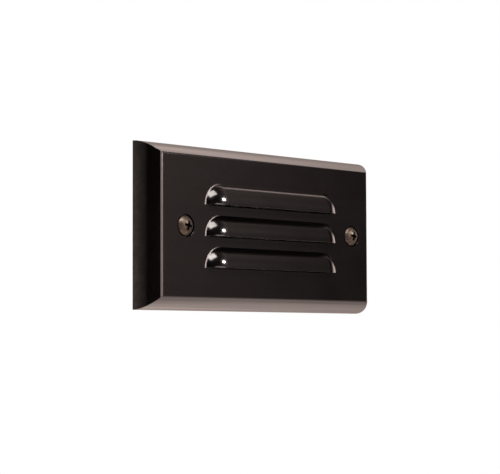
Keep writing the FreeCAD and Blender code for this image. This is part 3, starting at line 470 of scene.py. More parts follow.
class Ramps:
    """Short calls for level maths in a node tree."""

    def __init__(self, tree: bpy.types.NodeTree) -> None:
        """Keep the tree.

        Args:
            tree: where the nodes go.
        """
        self.tree = tree

    def add(self, kind: str) -> bpy.types.Node:
        """Add a node; its kind is the type's name without ShaderNode."""
        return self.tree.nodes.new("ShaderNode" + kind)

    def feed(self, target: Socket, value: Value) -> None:
        """Set an input, or join an output to it.

        Args:
            target: the input.
            value: a number, a linear colour or a socket.
        """
        if isinstance(value, Socket):
            self.tree.links.new(value, target)
        else:
            target.default_value = (*value, 1) if isinstance(value, tuple) else value

    def maths(self, how: str, first: Socket, second: Socket) -> Socket:
        """Two levels put together by a maths node.

        Args:
            how: the node's operation.
            first: a level.
            second: another.

        Returns:
            The result.
        """
        node = self.add("Math")
        node.operation = how
        self.feed(node.inputs[0], first)
        self.feed(node.inputs[1], second)
        return node.outputs[0]

    def times(self, *levels: Socket) -> Socket:
        """The product of two or more levels.

        Args:
            levels: what is multiplied.

        Returns:
            The product.
        """
        product = levels[0]
        for level in levels[1:]:
            product = self.maths("MULTIPLY", product, level)
        return product

    def spread(self, value: Socket, stops: Stops) -> Socket:
        """Map a value linearly between two stops.

        Args:
            value: what is mapped.
            stops: two pairs of (in, out).

        Returns:
            The mapped value, held at its ends.
        """
        (low_in, low_out), (high_in, high_out) = stops
        node = self.add("MapRange")
        for name, level in (("Value", value), ("From Min", low_in), ("From Max", high_in),
                            ("To Min", low_out), ("To Max", high_out)):
            self.feed(node.inputs[name], level)
        return node.outputs["Result"]

    def curve(self, value: Socket, stops: Stops) -> Socket:
        """Map a value from 0 to 1 through several stops.

        Args:
            value: what is mapped.
            stops: pairs of (in, out), the first at 0 and the last at 1.

        Returns:
            The mapped value.
        """
        node = self.add("FloatCurve")
        shape = node.mapping.curves[0]
        highest = max(level for _, level in stops)
        shape.points[0].location = (stops[0][0], stops[0][1] / highest)
        shape.points[1].location = (stops[-1][0], stops[-1][1] / highest)
        for place, level in stops[1:-1]:
            shape.points.new(place, level / highest)
        node.mapping.update()
        self.feed(node.inputs["Value"], value)
        return self.spread(node.outputs["Value"], ((0.0, 0.0), (1.0, highest)))

    def mix(self, factor: Socket, first: Value, second: Value, kind: str = "FLOAT") -> Socket:
        """Mix two levels or colours.

        Args:
            factor: 0 gives the first.
            first: a number, a colour or a socket.
            second: another.
            kind: FLOAT for levels, RGBA for colours.

        Returns:
            The mixture.
        """
        node = self.add("Mix")
        node.data_type = kind
        for name, value in (("Factor", factor), ("A", first), ("B", second)):
            self.feed(node.inputs[name], value)
        return node.outputs["Result"]

    def tint(self, factor: Socket, first: Value, second: Value) -> Socket:
        """Mix two colours; a factor of 0 gives the first."""
        return self.mix(factor, first, second, "RGBA")


class Nodes(Ramps):
    """A material's node tree, with short calls for the nodes that the finishes use."""

    def __init__(self, name: str) -> None:
        """Start a material with a single shader.

        Args:
            name: the material's name.
        """
        self.material = bpy.data.materials.new(name)
        self.material.use_nodes = True
        super().__init__(self.material.node_tree)
        self.shader = self.tree.nodes["Principled BSDF"]
        self.place = self.add("TexCoord").outputs["Object"]

    def set(self, **values: Value) -> None:
        """Set or feed the shader's own sockets; a name's underscores stand for spaces."""
        for key, value in values.items():
            self.feed(self.shader.inputs[key.replace("_", " ")], value)

    def noise(self, cells: float, detail: float = 6.0, stretch: Triple = (1.0, 1.0, 1.0)) -> Socket:
        """Noise over the piece's own coordinates.

        Args:
            cells: cells a metre.
            detail: octaves.
            stretch: how much denser it is along each axis.

        Returns:
            The noise's factor.
        """
        mapping, noise = self.add("Mapping"), self.add("TexNoise")
        mapping.inputs["Scale"].default_value = stretch
        self.feed(mapping.inputs["Vector"], self.place)
        for name, value in (("Vector", mapping.outputs["Vector"]), ("Scale", cells), ("Detail", detail)):
            self.feed(noise.inputs[name], value)
        return noise.outputs["Fac"]

    def marked(self, name: str) -> Socket:
        """The level that was written on a mesh's faces, or zero.

        Args:
            name: the attribute's name.

        Returns:
            The level's socket.
        """
        attribute = self.add("Attribute")
        attribute.attribute_name = name
        return attribute.outputs["Fac"]

    def bump(self, *heights: tuple[Socket, float]) -> None:
        """Add bumps.

        Args:
            heights: each a height's socket and its depth in metres.
        """
        normal = None
        for height, depth in heights:
            node = self.add("Bump")
            node.inputs["Strength"].default_value = 1.0
            node.inputs["Distance"].default_value = depth
            self.feed(node.inputs["Height"], height)
            if normal:
                self.feed(node.inputs["Normal"], normal)
            normal = node.outputs["Normal"]
        self.set(Normal=normal)


@dataclass(frozen=True)
class PowderCoat:
    """Dark bronze coat with a satin gloss and brush streaks along the plate, with painted highlights and
    painted shade where its faces are marked.
    """

    colour: Colour = (0.0011, 0.0008, 0.0008)
    second: Colour = (0.0018, 0.0013, 0.0013)
    cloud_cells: float = 60.0
    cloud_detail: float = 5.0
    roughness: Stops = ((0.3, 0.12), (0.7, 0.17))
    peel_cells: float = 900.0
    peel_detail: float = 2.0
    peel_depth: float = 0.5e-6
    streak_cells: float = 480.0
    streak_detail: float = 3.0
    streak_stretch: Triple = (0.02, 1.0, 1.0)
    streak_depth: float = 6e-6
    shine: Stops = ((0.35, 0.30), (0.65, 0.66))
    plain_shine: float = 0.5
    # A lighter, rougher coat for the faces marked as painted highlight.
    highlight_colour: Colour = (0.20, 0.17, 0.165)
    highlight_roughness: float = 0.4

    def material(self) -> bpy.types.Material:
        """Mix the coat.

        Returns:
            The material.
        """
        nodes = Nodes("bronze_powder_coat")
        cloud = nodes.noise(self.cloud_cells, self.cloud_detail)
        streak = nodes.noise(self.streak_cells, self.streak_detail, self.streak_stretch)
        peel = nodes.noise(self.peel_cells, self.peel_detail)
        # Painted highlight: marked faces on the left edge, the left louver ends and the lips are made
        # lighter.
        rubbed = nodes.marked("rubbed")
        # Painted shade: marked faces on the screw seats' walls lose their shine.
        unshaded = nodes.spread(nodes.marked("grime"), ((0.0, 1.0), (1.0, 0.0)))
        shine = nodes.mix(nodes.marked("brushed"), self.plain_shine, nodes.spread(streak, self.shine))
        gloss = nodes.spread(cloud, self.roughness)
        nodes.set(
            Base_Color=nodes.tint(rubbed, nodes.tint(cloud, self.colour, self.second), self.highlight_colour),
            Roughness=nodes.mix(rubbed, gloss, self.highlight_roughness),
            Specular_IOR_Level=nodes.times(shine, unshaded))
        nodes.bump((peel, self.peel_depth), (streak, self.streak_depth))
        return nodes.material


@dataclass(frozen=True)
class Metal:
    """A bare or plated metal with grain, patches of tarnish, and painted shade, a near-black tint, where
    its faces are marked.
    """

    name: str
    colour: Colour
    tarnish: Colour
    roughness: Stops = ((0.3, 0.25), (0.7, 0.45))
    tarnish_cells: float = 900.0
    tarnish_edge: Stops = ((0.35, 0.0), (0.65, 1.0))
    grain_cells: float = 4000.0
    grain_detail: float = 4.0
    grain_stretch: Triple = (1.0, 1.0, 1.0)
    grain_depth: float = 2e-6
    # Near-black tint for marked faces: painted shade in recesses.
    grime: Colour = (0.004, 0.003, 0.003)

    def material(self) -> bpy.types.Material:
        """Mix the metal.

        Returns:
            The material.
        """
        nodes = Nodes(self.name)
        patch = nodes.noise(self.tarnish_cells)
        surface = nodes.tint(nodes.spread(patch, self.tarnish_edge), self.colour, self.tarnish)
        # Marked faces are tinted near black: painted shade.
        nodes.set(Metallic=1.0, Base_Color=nodes.tint(nodes.marked("grime"), surface, self.grime),
                  Roughness=nodes.spread(patch, self.roughness))
        nodes.bump((nodes.noise(self.grain_cells, self.grain_detail, self.grain_stretch), self.grain_depth))
        return nodes.material


@dataclass(frozen=True)
class Moulded:
    """Plastic, rubber or foam with a moulded skin."""

    name: str
    colour: Colour
    second: Colour
    roughness: Stops = ((0.3, 0.35), (0.7, 0.55))
    cells: float = 1200.0
    depth: float = 4e-6
    specular: float = 0.5
    soften: float = 0.0

    def material(self) -> bpy.types.Material:
        """Mix the moulding.

        Returns:
            The material.
        """
        nodes = Nodes(self.name)
        skin = nodes.noise(self.cells)
        nodes.set(Specular_IOR_Level=self.specular, Subsurface_Weight=self.soften, Subsurface_Scale=MM,
                  Base_Color=nodes.tint(skin, self.colour, self.second),
                  Roughness=nodes.spread(skin, self.roughness))
        nodes.bump((skin, self.depth))
        return nodes.material


@dataclass(frozen=True)
class Glass:
    """Clear or frosted glass."""

    name: str
    colour: Colour
    roughness: Stops
    cells: float
    depth: float

    def material(self) -> bpy.types.Material:
        """Mix the glass.

        Returns:
            The material.
        """
        nodes = Nodes(self.name)
        frost = nodes.noise(self.cells)
        nodes.set(Base_Color=self.colour, Transmission_Weight=1.0, IOR=1.5,
                  Roughness=nodes.spread(frost, self.roughness))
        nodes.bump((frost, self.depth))
        return nodes.material


class Finishes:
    """Every finish on the light, by the record's slot."""

    by_slot: dict[str, bpy.types.Material]
    slot_of: dict[str, str]

    def __init__(self) -> None:
        """Mix the materials once and note each CAD node's slot."""
        recipes = {
            "plate_finish": PowderCoat(),
            "screw_bronze": Metal("antique_bronze", (0.108, 0.086, 0.068), (0.044, 0.036, 0.030),
                                  ((0.3, 0.42), (0.7, 0.58))),
            "washer_nylon": Moulded("natural_nylon", (0.74, 0.71, 0.62), (0.80, 0.78, 0.71), soften=0.2),
            "foam": Moulded("closed_cell_foam", (0.012, 0.012, 0.013), (0.035, 0.035, 0.036),
                            ((0.3, 0.85), (0.7, 1.0)), 2600.0, 6e-5, 0.2),
            "silicone": Moulded("grey_silicone", (0.42, 0.43, 0.44), (0.50, 0.51, 0.52), soften=0.1),
            "frosted_glass": Glass("frosted_glass", (0.93, 0.96, 0.95), ((0.3, 0.42), (0.7, 0.55)),
                                   5000.0, 6e-6),
            "plated_steel": Metal("zinc_plate", (0.62, 0.61, 0.57), (0.48, 0.49, 0.50),
                                  tarnish_cells=500.0),
            "cast_alloy": Metal("cast_alloy", (0.42, 0.42, 0.43), (0.33, 0.33, 0.35),
                                ((0.3, 0.42), (0.7, 0.62)), 350.0, grain_cells=1500.0, grain_depth=3e-5),
            "black_rubber": Moulded("black_rubber", (0.010, 0.010, 0.010), (0.022, 0.022, 0.022),
                                    ((0.3, 0.55), (0.7, 0.75))),
            "bright_sheet": Metal("bright_sheet", (0.88, 0.88, 0.89), (0.80, 0.80, 0.82),
                                  ((0.3, 0.12), (0.7, 0.22)), 300.0, grain_cells=3000.0,
                                  grain_stretch=(0.03, 1.0, 1.0), grain_depth=8e-7),
            "clear_glass": Glass("clear_glass", (0.98, 0.99, 0.99), ((0.3, 0.0), (0.7, 0.02)), 150.0, 1e-6),
            "nickel_wire": Metal("nickel_wire", (0.60, 0.58, 0.52), (0.48, 0.47, 0.43)),
            "tungsten": Metal("tungsten", (0.22, 0.22, 0.23), (0.12, 0.12, 0.13)),
            "socket_resin": Moulded("socket_resin", (0.72, 0.69, 0.60), (0.79, 0.76, 0.69), specular=0.4),
            "contact_brass": Metal("contact_brass", (0.78, 0.58, 0.27), (0.60, 0.43, 0.20)),
            "block_nylon": Moulded("block_nylon", (0.78, 0.76, 0.68), (0.84, 0.82, 0.76),
                                   ((0.3, 0.25), (0.7, 0.4)), soften=0.15),
            "black_sleeve": Moulded("black_sleeve", (0.010, 0.010, 0.011), (0.016, 0.016, 0.017),
                                    ((0.3, 0.3), (0.7, 0.45))),
            "white_sleeve": Moulded("white_sleeve", (0.74, 0.74, 0.71), (0.80, 0.80, 0.78),
                                    ((0.3, 0.3), (0.7, 0.45))),
        }
        subparts = frame["record"]["subparts"]
        self.by_slot = {slot: recipe.material() for slot, recipe in recipes.items()}
        self.slot_of = {part["node"]: part["material_slot"] for part in subparts}

    def paint(self, piece: Piece, node: str) -> None:
        """Give a mesh the finish of a CAD node as its only one.

        Args:
            piece: the mesh.
            node: whose finish it takes.
        """
        piece.data.materials.clear()
        piece.data.materials.append(self.by_slot[self.slot_of[node]])

    def paint_nodes(self) -> None:
        """Paint every CAD node from its slot in the record."""
        for node, slot in self.slot_of.items():
            self.paint(frame["nodes"][node], node)
            log.info("%s painted as %s", node, slot)


# ------------------------------------------------------------------ screws

@dataclass
class Thread:
    """A screw thread's ridge, wound round a shank."""

    root: float
    crest: float
    pitch: float
    steps: int = 32
    foot_half: float = 0.42
    crest_half: float = 0.08
    sink: float = 0.25

    def wound(self, centre: Vector, axis: Vector, start: float, end: float) -> Piece:
        """Wind the ridge.

        Args:
            centre: the point on the axis from which distances are measured.
            axis: the direction in which they grow.
            start: where the thread may begin.
            end: where it has to be over.

        Returns:
            The ridge, sunk a little into the shank.
        """
        turns = max(int((end - start) / self.pitch) - 1, 1)
        first = start + (end - start - turns * self.pitch) / 2
        foot = self.root - (self.crest - self.root) * self.sink
        section = [(foot, -self.foot_half), (self.crest, -self.crest_half),
                   (self.crest, self.crest_half), (foot, self.foot_half)]
        ridge = draw_outline("thread_ridge", [
            centre + RIGHT * radius + axis * (first + along * self.pitch) for radius, along in section])
        return wind(ridge, centre, axis, turns, self.steps, self.pitch)


@dataclass(frozen=True)
class CrossRecess:
    """A tapered cross, cut into a screw's head."""

    span: float
    wing: float
    depth: float
    taper: float = 0.45

    def cutter(self, top: Vector, axis: Vector, spin: float = 0.0) -> Piece:
        """The cross as a solid, narrower towards its tip.

        Args:
            top: the middle of its wide end.
            axis: where its tip points, along Y.
            spin: how far it is turned about its axis.

        Returns:
            The tool.
        """
        arm, wing = self.span / 2, self.wing / 2
        corners = [(arm, wing), (wing, wing), (wing, arm)]
        for _ in range(3):
            corners += [(-z, x) for x, z in corners[-3:]]
        turned = Matrix.Rotation(spin, 3, "Y")
        clear = axis * (self.depth / 40)
        cutter = draw_outline("cross_cutter", [
            top - clear + turned @ Vector((x, 0, z)) for x, z in corners])
        extrude(axis * self.depth)
        bpy.ops.transform.resize(value=(self.taper, 1.0, self.taper),
                                 center_override=top + axis * self.depth)
        return leave_edit(cutter)


@dataclass
class SmallScrew:
    """A pan-headed or headless screw with a driven end and a thread.

    The recess is given in shares of the driven end's radius or height, the thread in shares of the shank.
    """

    low: Vector
    high: Vector
    faces: int
    recess: Recess
    head_height: float = 1.2 * MM
    shank: float = 1.1 * MM
    rim: float = 0.35 * MM
    rim_angles: tuple[float, ...] = (90, 68, 45, 22, 0)
    around: int = 40
    cross_span: float = 1.15
    cross_depth: float = 0.75
    slot_span: float = 2.4
    slot_depth: float = 0.6
    recess_width: float = 0.3
    plain_length: float = 0.4
    root_share: float = 0.82
    pitch_share: float = 0.42

    def __post_init__(self) -> None:
        """Fit the screw to the box of its solid."""
        middle = (self.low + self.high) / 2
        self.axis = BACK * -self.faces
        self.top = Vector((middle.x, self.high.y if self.faces > 0 else self.low.y, middle.z))
        self.radius = (self.high.x - self.low.x) / 2
        self.length = self.high.y - self.low.y
        self.rim = min(self.rim, self.radius / 4)
        self.shank = min(self.shank, self.radius)
        self.root = self.shank * self.root_share
        self.point = self.shank / 3
        self.tip = self.length - self.point
        self.head, self.neck = 0.0, self.length * self.plain_length + self.rim / 2
        if self.shank < self.radius:
            self.head, self.neck = self.head_height, self.head_height + self.shank / 4

    def build(self, name: str) -> Piece:
        """Turn the screw, cut its recess and wind its thread.

        Args:
            name: the new object's name.

        Returns:
            The screw, not yet dressed.
        """
        screw = turn_outline(name, self.outline(), self.top, self.axis, self.around)
        combine(screw, self.driver(), "DIFFERENCE")
        pitch = min(self.shank * self.pitch_share, (self.tip - self.neck) / 3)
        ridge = Thread(self.root, self.shank, pitch).wound(self.top, self.axis, self.neck, self.tip)
        return join_pieces([screw, ridge], name)

    def outline(self) -> list[Point]:
        """Half the screw's section.

        Returns:
            (radius, distance from the driven end), from the middle of that end to the tip.
        """
        crown = [(self.radius - self.rim * (1 - math.cos(turn)), self.rim * (1 - math.sin(turn)))
                 for turn in map(math.radians, self.rim_angles)]
        if self.head:
            shoulder = [(self.radius, self.head), (self.shank, self.head)]
        else:
            shoulder = [(self.radius, self.length * self.plain_length)]
        return [(0.0, 0.0), *crown, *shoulder, (self.root, self.neck), (self.root, self.tip),
                (self.root - self.point, self.length), (0.0, self.length)]

    def driver(self) -> Piece:
        """The tool that cuts the recess.

        Returns:
            A cross, or a blade for a slot.
        """
        reach, width = self.head or self.radius, self.radius * self.recess_width
        if self.recess is Recess.CROSS:
            cross = CrossRecess(self.radius * self.cross_span, width, reach * self.cross_depth)
            return cross.cutter(self.top, self.axis)
        clear_selection()
        bpy.ops.mesh.primitive_cube_add(size=1.0, location=self.top)
        blade = bpy.context.object
        depth = min(reach, self.radius) * self.slot_depth
        blade.scale = (self.radius * self.slot_span, depth * 2, width)
        bpy.ops.object.transform_apply(location=True, rotation=True, scale=True)
        return blade


# ------------------------------------------------------------------ sub-assemblies

@dataclass
class SubAssembly(ABC):
    """A group of pieces that are built and dressed together."""

    finishes: Finishes

    @abstractmethod
    def build(self) -> None:
        """Model the pieces and dress them."""

    def dress(self, piece: Piece, body: Body, node: str) -> Piece:
        """Give a piece its finish and its body, and hide the CAD node that it stands for.

        Args:
            piece: the finished mesh, its object at the origin.
            body: what it moves with.
            node: the CAD node that it replaces.

        Returns:
            The same object.
        """
        self.finishes.paint(piece, node)
        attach(piece, body.value)
        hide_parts(node)
        log.info("%s on %s: %d faces", piece.name, body.value, len(piece.data.polygons))
        return piece

    def eased(self, node: str, body: Body, ease: float, segments: int = 2, sharp: float = 30.0) -> Piece:
        """Copy a CAD node, ease its sharp edges and dress it.

        Args:
            node: the CAD node.
            body: what it moves with.
            ease: how wide the bevels are; 0 leaves every edge as it is.
            segments: faces across a bevel.
            sharp: edges that turn by more degrees are eased.

        Returns:
            The dressed piece.
        """
        piece = merged_copy(node, node + "_eased")
        if ease:
            apply_modifier(piece, "BEVEL", width=ease, segments=segments, limit_method="ANGLE",
                           angle_limit=math.radians(sharp))
        return self.dress(smooth(piece, SMOOTH_EASED), body, node)

    def screws(self, node: str, body: Body, faces: int, recess: Recess, **sizes: float) -> Piece:
        """Turn every screw of a CAD node, each where one of its solids is, and dress them as one piece.

        Args:
            node: the CAD node.
            body: what they move with.
            faces: 1 if the driven ends face the wall, -1 if they face the front.
            recess: how they are driven.
            sizes: what differs from the usual small screw.

        Returns:
            The dressed screws.
        """
        turned = [SmallScrew(low, high, faces, recess, **sizes).build(f"{node}_{index}")
                  for index, (low, high) in enumerate(islands(node))]
        return self.dress(smooth(join_pieces(turned, node + "_turned"), SMOOTH_TURNED), body, node)


@dataclass
class Louvers:
    """Hoods pressed out of the plate's face, swept round at both ends and open below their lips."""

    face: float
    plate_wall: float
    run: float = 52.6 * MM
    reach: float = 7.3 * MM
    rise: float = 4.0 * MM
    wall: float = 1.2 * MM
    pitch: float = 10.87 * MM
    count: int = 3
    lowest_lip: float = -14.03 * MM
    lip_round: float = 0.40 * MM
    foot_round: float = 0.45 * MM
    past_plate: float = 0.3 * MM
    arc_steps: int = 20
    foot_steps: int = 5
    end_steps: int = 18
    lip_segments: int = 4
    lip_slant: Point = (-0.97, -0.1)
    highlight_end: float = 1.0
    highlight_lip: float = 1.0

    def __post_init__(self) -> None:
        """Work out the arc of the hoods' section."""
        self.arc_radius = (self.reach ** 2 + self.rise ** 2) / (2 * self.rise)
        self.arc_centre = self.rise - self.arc_radius

    def hood_profile(self) -> list[Point]:
        """The hood's outer section as (reach from the lip, height over the face).

        Returns:
            A closed run of points, from the foot of the lip's plane round to it again.
        """
        outer, centre, foot = self.arc_radius, self.arc_centre, self.foot_round
        foot_reach = math.sqrt((outer + foot) ** 2 - (foot - centre) ** 2)
        lean = math.atan2(foot - centre, foot_reach)
        top = arc_points((0.0, centre), outer, QUARTER_TURN, lean, self.arc_steps)
        fillet = arc_points((foot_reach, foot), foot, math.pi + lean, 3 * QUARTER_TURN, self.foot_steps)
        buried = -self.plate_wall / 2
        return [(0.0, buried)] + top + fillet[1:] + [(foot_reach, buried)]

    def slot_profile(self) -> list[Point]:
        """The section of the air under a hood, on through the plate.

        Returns:
            A closed run of points like the hood's.
        """
        inner, centre = self.arc_radius - self.wall, self.arc_centre
        lean = math.asin(-centre / inner)
        top = arc_points((0.0, centre), inner, QUARTER_TURN, lean, self.arc_steps)
        through = -self.plate_wall - self.past_plate
        return [(0.0, through)] + top + [(top[-1][0], through)]

    def swept(self, name: str, profile: Sequence[Point], lip: float) -> Piece:
        """Run a section along the plate and turn it a quarter at both ends.

        Args:
            name: the new object's name.
            profile: (reach, height over the face).
            lip: the Z of the plane that it stands on.

        Returns:
            The closed solid.
        """
        half = self.run / 2
        solid = draw_outline(name, [
            Vector((-half, self.face - height, lip + reach)) for reach, height in profile])
        extrude(RIGHT * self.run)
        for side in SIDES:
            def at_end(centre: Vector, normal: Vector) -> bool:
                """Whether a face is the flat end on this side."""
                return abs(centre.x - side * half) < MERGE_DISTANCE and abs(normal.x) > SQUARE_ON
            select_faces(solid, at_end)
            bpy.ops.mesh.spin(steps=self.end_steps, angle=-side * QUARTER_TURN, axis=BACK,
                              center=(side * half, self.face, lip))
        pick_by("FACE")
        bpy.ops.mesh.select_interior_faces()
        bpy.ops.mesh.delete(type="FACE")
        leave_edit(solid)
        edit(solid)
        select_faces(solid, lambda centre, normal: abs(centre.z - lip) < MERGE_DISTANCE)
        bpy.ops.mesh.dissolve_faces()
        return leave_edit(solid)

    def rows(self, lowest: Piece) -> Piece:
        """Repeat a solid at every row.

        Args:
            lowest: the lowest louver's solid.

        Returns:
            All rows joined.
        """
        copies = [duplicate(lowest, UP * (self.pitch * row)) for row in range(1, self.count)]
        return join_pieces([lowest, *copies], lowest.name)

    def hoods(self) -> Piece:
        """The louvers' outer skins with their lips eased.

        Returns:
            The solids, without the air under them.
        """
        hood = self.swept("louver_hood", self.hood_profile(), self.lowest_lip)
        edit(hood)
        proud = self.face - self.foot_round / 3
        select_edges(hood, lambda end: abs(end.z - self.lowest_lip) < MERGE_DISTANCE and end.y < proud)
        bpy.ops.mesh.bevel(offset=self.lip_round, segments=self.lip_segments, affect="EDGES",
                           clamp_overlap=True)
        return self.rows(leave_edit(hood))

    def slots(self) -> Piece:
        """The openings under the hoods, a hair below the lips so that they cut cleanly."""
        return self.rows(self.swept("louver_slot", self.slot_profile(),
                                    self.lowest_lip - MERGE_DISTANCE * 2))

    def rubbed(self, centre: Vector, normal: Vector) -> float:
        """How much painted highlight, a lighter coat, goes on the feet of the left ends and on the lips.

        Args:
            centre: a face's centre.
            normal: its normal.

        Returns:
            From 0 to 1.
        """
        row = round((centre.z - self.lowest_lip - self.reach / 2) / self.pitch)
        lip = self.lowest_lip + self.pitch * min(max(row, 0), self.count - 1)
        across, up = abs(centre.x) - self.run / 2, centre.z - lip
        out = math.hypot(across, up)
        at_foot = self.reach - self.foot_round / 2 < out < self.reach + 2 * self.foot_round
        # Painted highlight on the feet of the left ends only.
        if across > 0 and up > -MERGE_DISTANCE and at_foot:
            return self.highlight_end * across / out if centre.x < 0 else 0.0
        # Painted highlight on the lips' rounded undersides.
        steepest, flattest = self.lip_slant
        on_lip = abs(up) < self.lip_round and steepest < normal.z < flattest and centre.y < self.face
        return self.highlight_lip if on_lip and across < self.reach else 0.0


@dataclass
class Faceplate(SubAssembly):
    """Cast pan with arc bevels and mitred corners, and louvers pressed out of its face."""

    depth: float = 10.0 * MM
    wall: float = 2.0 * MM
    bevel_inset: float = 4.35 * MM
    bevel_steps: int = 18
    edge_round: float = 0.35 * MM
    edge_segments: int = 4
    mitre_round: float = 0.12 * MM
    mitre_angle: float = math.radians(35)
    seat_radius: float = 4.0 * MM
    seat_depth: float = 0.8 * MM
    seat_ease: float = 0.03 * MM
    hole_radius: float = 2.15 * MM
    hole_around: int = 64
    lens_gap: float = 0.3 * MM
    fence_wall: float = 1.0 * MM
    fence_height: float = 2.2 * MM
    fence_corner: float = 3.3 * MM
    fence_segments: int = 6
    post_radius: float = 2.5 * MM
    post_height: float = 2.5 * MM
    post_hole: float = 1.15 * MM
    post_floor: float = 0.3 * MM
    post_around: int = 32
    small_head: float = 4.4 * MM
    sunk: float = 0.5 * MM
    clear: float = 1.0 * MM
    highlight_edge: float = 0.3
    brush_bevel: float = 1.0
    brush_louver: float = 0.5
    brush_face: float = 0.12
    wall_tilt: float = 0.5

    def __post_init__(self) -> None:
        """Take the outline and the screws' places from the frame."""
        low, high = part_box("faceplate")
        self.middle = (low.x + high.x) / 2
        self.half_width = (high.x - low.x) / 2
        self.half_height = high.z
        self.front = -self.depth
        self.screw_x = middle_of("faceplate_screw_right").x
        self.louvers = Louvers(self.front, self.wall)

    def build(self) -> None:
        """Model the whole plate and mark its painted highlights, its painted shade and its brushed faces.
        """
        plate = self.pan()
        combine(plate, self.louvers.hoods(), "UNION")
        combine(plate, self.louvers.slots(), "DIFFERENCE")
        combine(plate, self.lens_fence(), "UNION")
        combine(plate, self.posts(), "UNION")
        combine(plate, self.screw_holes(), "DIFFERENCE")
        smooth(plate, SMOOTH_CAST)
        mark(plate, "rubbed", self.rubbed)
        # The screw seats' walls are marked for painted shade.
        mark(plate, "grime", self.grime)
        mark(plate, "brushed", self.brushed)
        self.dress(plate, Body.PLATE, "faceplate")

    def pan(self) -> Piece:
        """The outer skin with its edges eased, hollowed by the inner one.

        Returns:
            The pan, open towards the wall.
        """
        pan = self.skin("cast_faceplate", 0.0, 0.0)
        edit(pan)
        select_edges(pan, lambda end: abs(end.y - self.front) < MERGE_DISTANCE)
        bpy.ops.mesh.bevel(offset=self.edge_round, segments=self.edge_segments, affect="EDGES",
                           miter_outer="SHARP")
        leave_edit(pan)
        apply_modifier(pan, "BEVEL", width=self.mitre_round, segments=2, limit_method="ANGLE",
                       angle_limit=self.mitre_angle, miter_outer="MITER_SHARP")
        combine(pan, self.skin("pan_hollow", self.wall, self.wall), "DIFFERENCE")
        return pan

    def skin(self, name: str, inset: float, behind: float) -> Piece:
        """Extrude and narrow a rectangle along the bevel's arc.

        Args:
            name: the new object's name.
            inset: how far it lies inside the outer skin.
            behind: how far it reaches behind the wall plane.

        Returns:
            A closed solid.
        """
        radius = (self.depth ** 2 + self.bevel_inset ** 2) / (2 * self.bevel_inset) - inset
        sweep = math.asin((self.depth - inset) / radius)
        width, height = self.half_width - inset, self.half_height - inset
        skin = add_rectangle(name, Vector((self.middle, behind, 0)), 2 * width, 2 * height, upright=True)
        edit(skin)
        if behind:
            extrude(BACK * -behind)
        for step in range(self.bevel_steps):
            before, after = (sweep * (step + i) / self.bevel_steps for i in range(2))
            forward = radius * (math.sin(after) - math.sin(before))
            was, now = (radius * (1 - math.cos(angle)) for angle in (before, after))
            extrude(BACK * -forward)
            bpy.ops.transform.resize(
                value=((width - now) / (width - was), 1.0, (height - now) / (height - was)),
                center_override=(self.middle, 0, 0))
        return leave_edit(skin)

    def lens_fence(self) -> Piece:
        """The low fence round the lens, sunk a little into the pan.

        Returns:
            The fence as a ring.
        """
        low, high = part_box("lens")
        margin = 2 * (self.lens_gap + self.fence_wall)
        fence = add_rectangle("lens_fence", Vector((0, self.front + self.wall - self.sunk, 0)),
                              high.x - low.x + margin, high.z - low.z + margin, upright=True)
        edit(fence)
        bpy.ops.mesh.bevel(offset=self.fence_corner, segments=self.fence_segments, affect="VERTICES")
        bpy.ops.mesh.select_all(action="SELECT")
        bpy.ops.mesh.select_mode(type="FACE")
        bpy.ops.mesh.inset(thickness=self.fence_wall, depth=0.0)
        bpy.ops.mesh.delete(type="FACE")
        bpy.ops.mesh.select_all(action="SELECT")
        extrude(BACK * (self.fence_height + self.sunk))
        return leave_edit(fence)

    def posts(self) -> Piece:
        """The four posts that take the lens frame's screws, drilled from behind.

        Returns:
            All posts joined, their feet sunk a little into the pan.
        """
        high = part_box("lens_retainer_screws")[1]
        x, z = high.x - self.small_head / 2, high.z - self.small_head / 2
        profile = [(0.0, -self.sunk), (self.post_radius, -self.sunk),
                   (self.post_radius, self.post_height), (self.post_hole, self.post_height),
                   (self.post_hole, self.post_floor), (0.0, self.post_floor)]
        back = self.front + self.wall
        posts = [turn_outline("screw_post", profile, Vector((i * x, back, k * z)), BACK, self.post_around)
                 for i in SIDES for k in SIDES]
        return join_pieces(posts, "screw_posts")

    def screw_holes(self) -> Piece:
        """The stepped holes of the two plate screws.

        Returns:
            Both holes as solid tools.
        """
        ease, seat = self.seat_ease, self.seat_radius
        profile = [(0.0, -self.clear), (seat + ease + self.clear, -self.clear), (seat, ease),
                   (seat, self.seat_depth), (self.hole_radius, self.seat_depth),
                   (self.hole_radius, 2 * self.wall), (0.0, 2 * self.wall)]
        holes = [turn_outline("screw_hole", profile, Vector((side * self.screw_x, self.front, 0)), BACK,
                              self.hole_around) for side in SIDES]
        return join_pieces(holes, "screw_holes")

    def rubbed(self, centre: Vector, normal: Vector) -> float:
        """How much painted highlight, a lighter coat, goes on the plate's left edge and the louvers.

        Args:
            centre: a face's centre.
            normal: its normal.

        Returns:
            From 0 to 1.
        """
        if abs(normal.y) > SQUARE_ON:
            return 0.0
        # Painted highlight along the plate's left face edge only.
        left = self.middle - self.half_width + self.bevel_inset
        if abs(centre.x - left) < self.edge_round and centre.y - self.front < self.edge_round:
            return self.highlight_edge
        return self.louvers.rubbed(centre, normal)

    def brushed(self, centre: Vector, normal: Vector) -> float:
        """How plain the brush lines are.

        Args:
            centre: a face's centre.
            normal: its normal.

        Returns:
            Full on the bevels, half on the louvers and faint on the face.
        """
        if abs(normal.y) > SQUARE_ON:
            return self.brush_face
        on_bevel = abs(centre.z) > self.half_height - self.bevel_inset
        return self.brush_bevel if on_bevel else self.brush_louver

    def grime(self, centre: Vector, normal: Vector) -> float:
        """Painted shade on the walls of the screws' seats, which lose their shine.

        Args:
            centre: a face's centre.
            normal: its normal.

        Returns:
            1 there and 0 elsewhere.
        """
        out = min(math.hypot(centre.x - side * self.screw_x, centre.z) for side in SIDES)
        near = out < self.seat_radius + self.seat_ease
        return 1.0 if near and abs(normal.y) < self.wall_tilt else 0.0


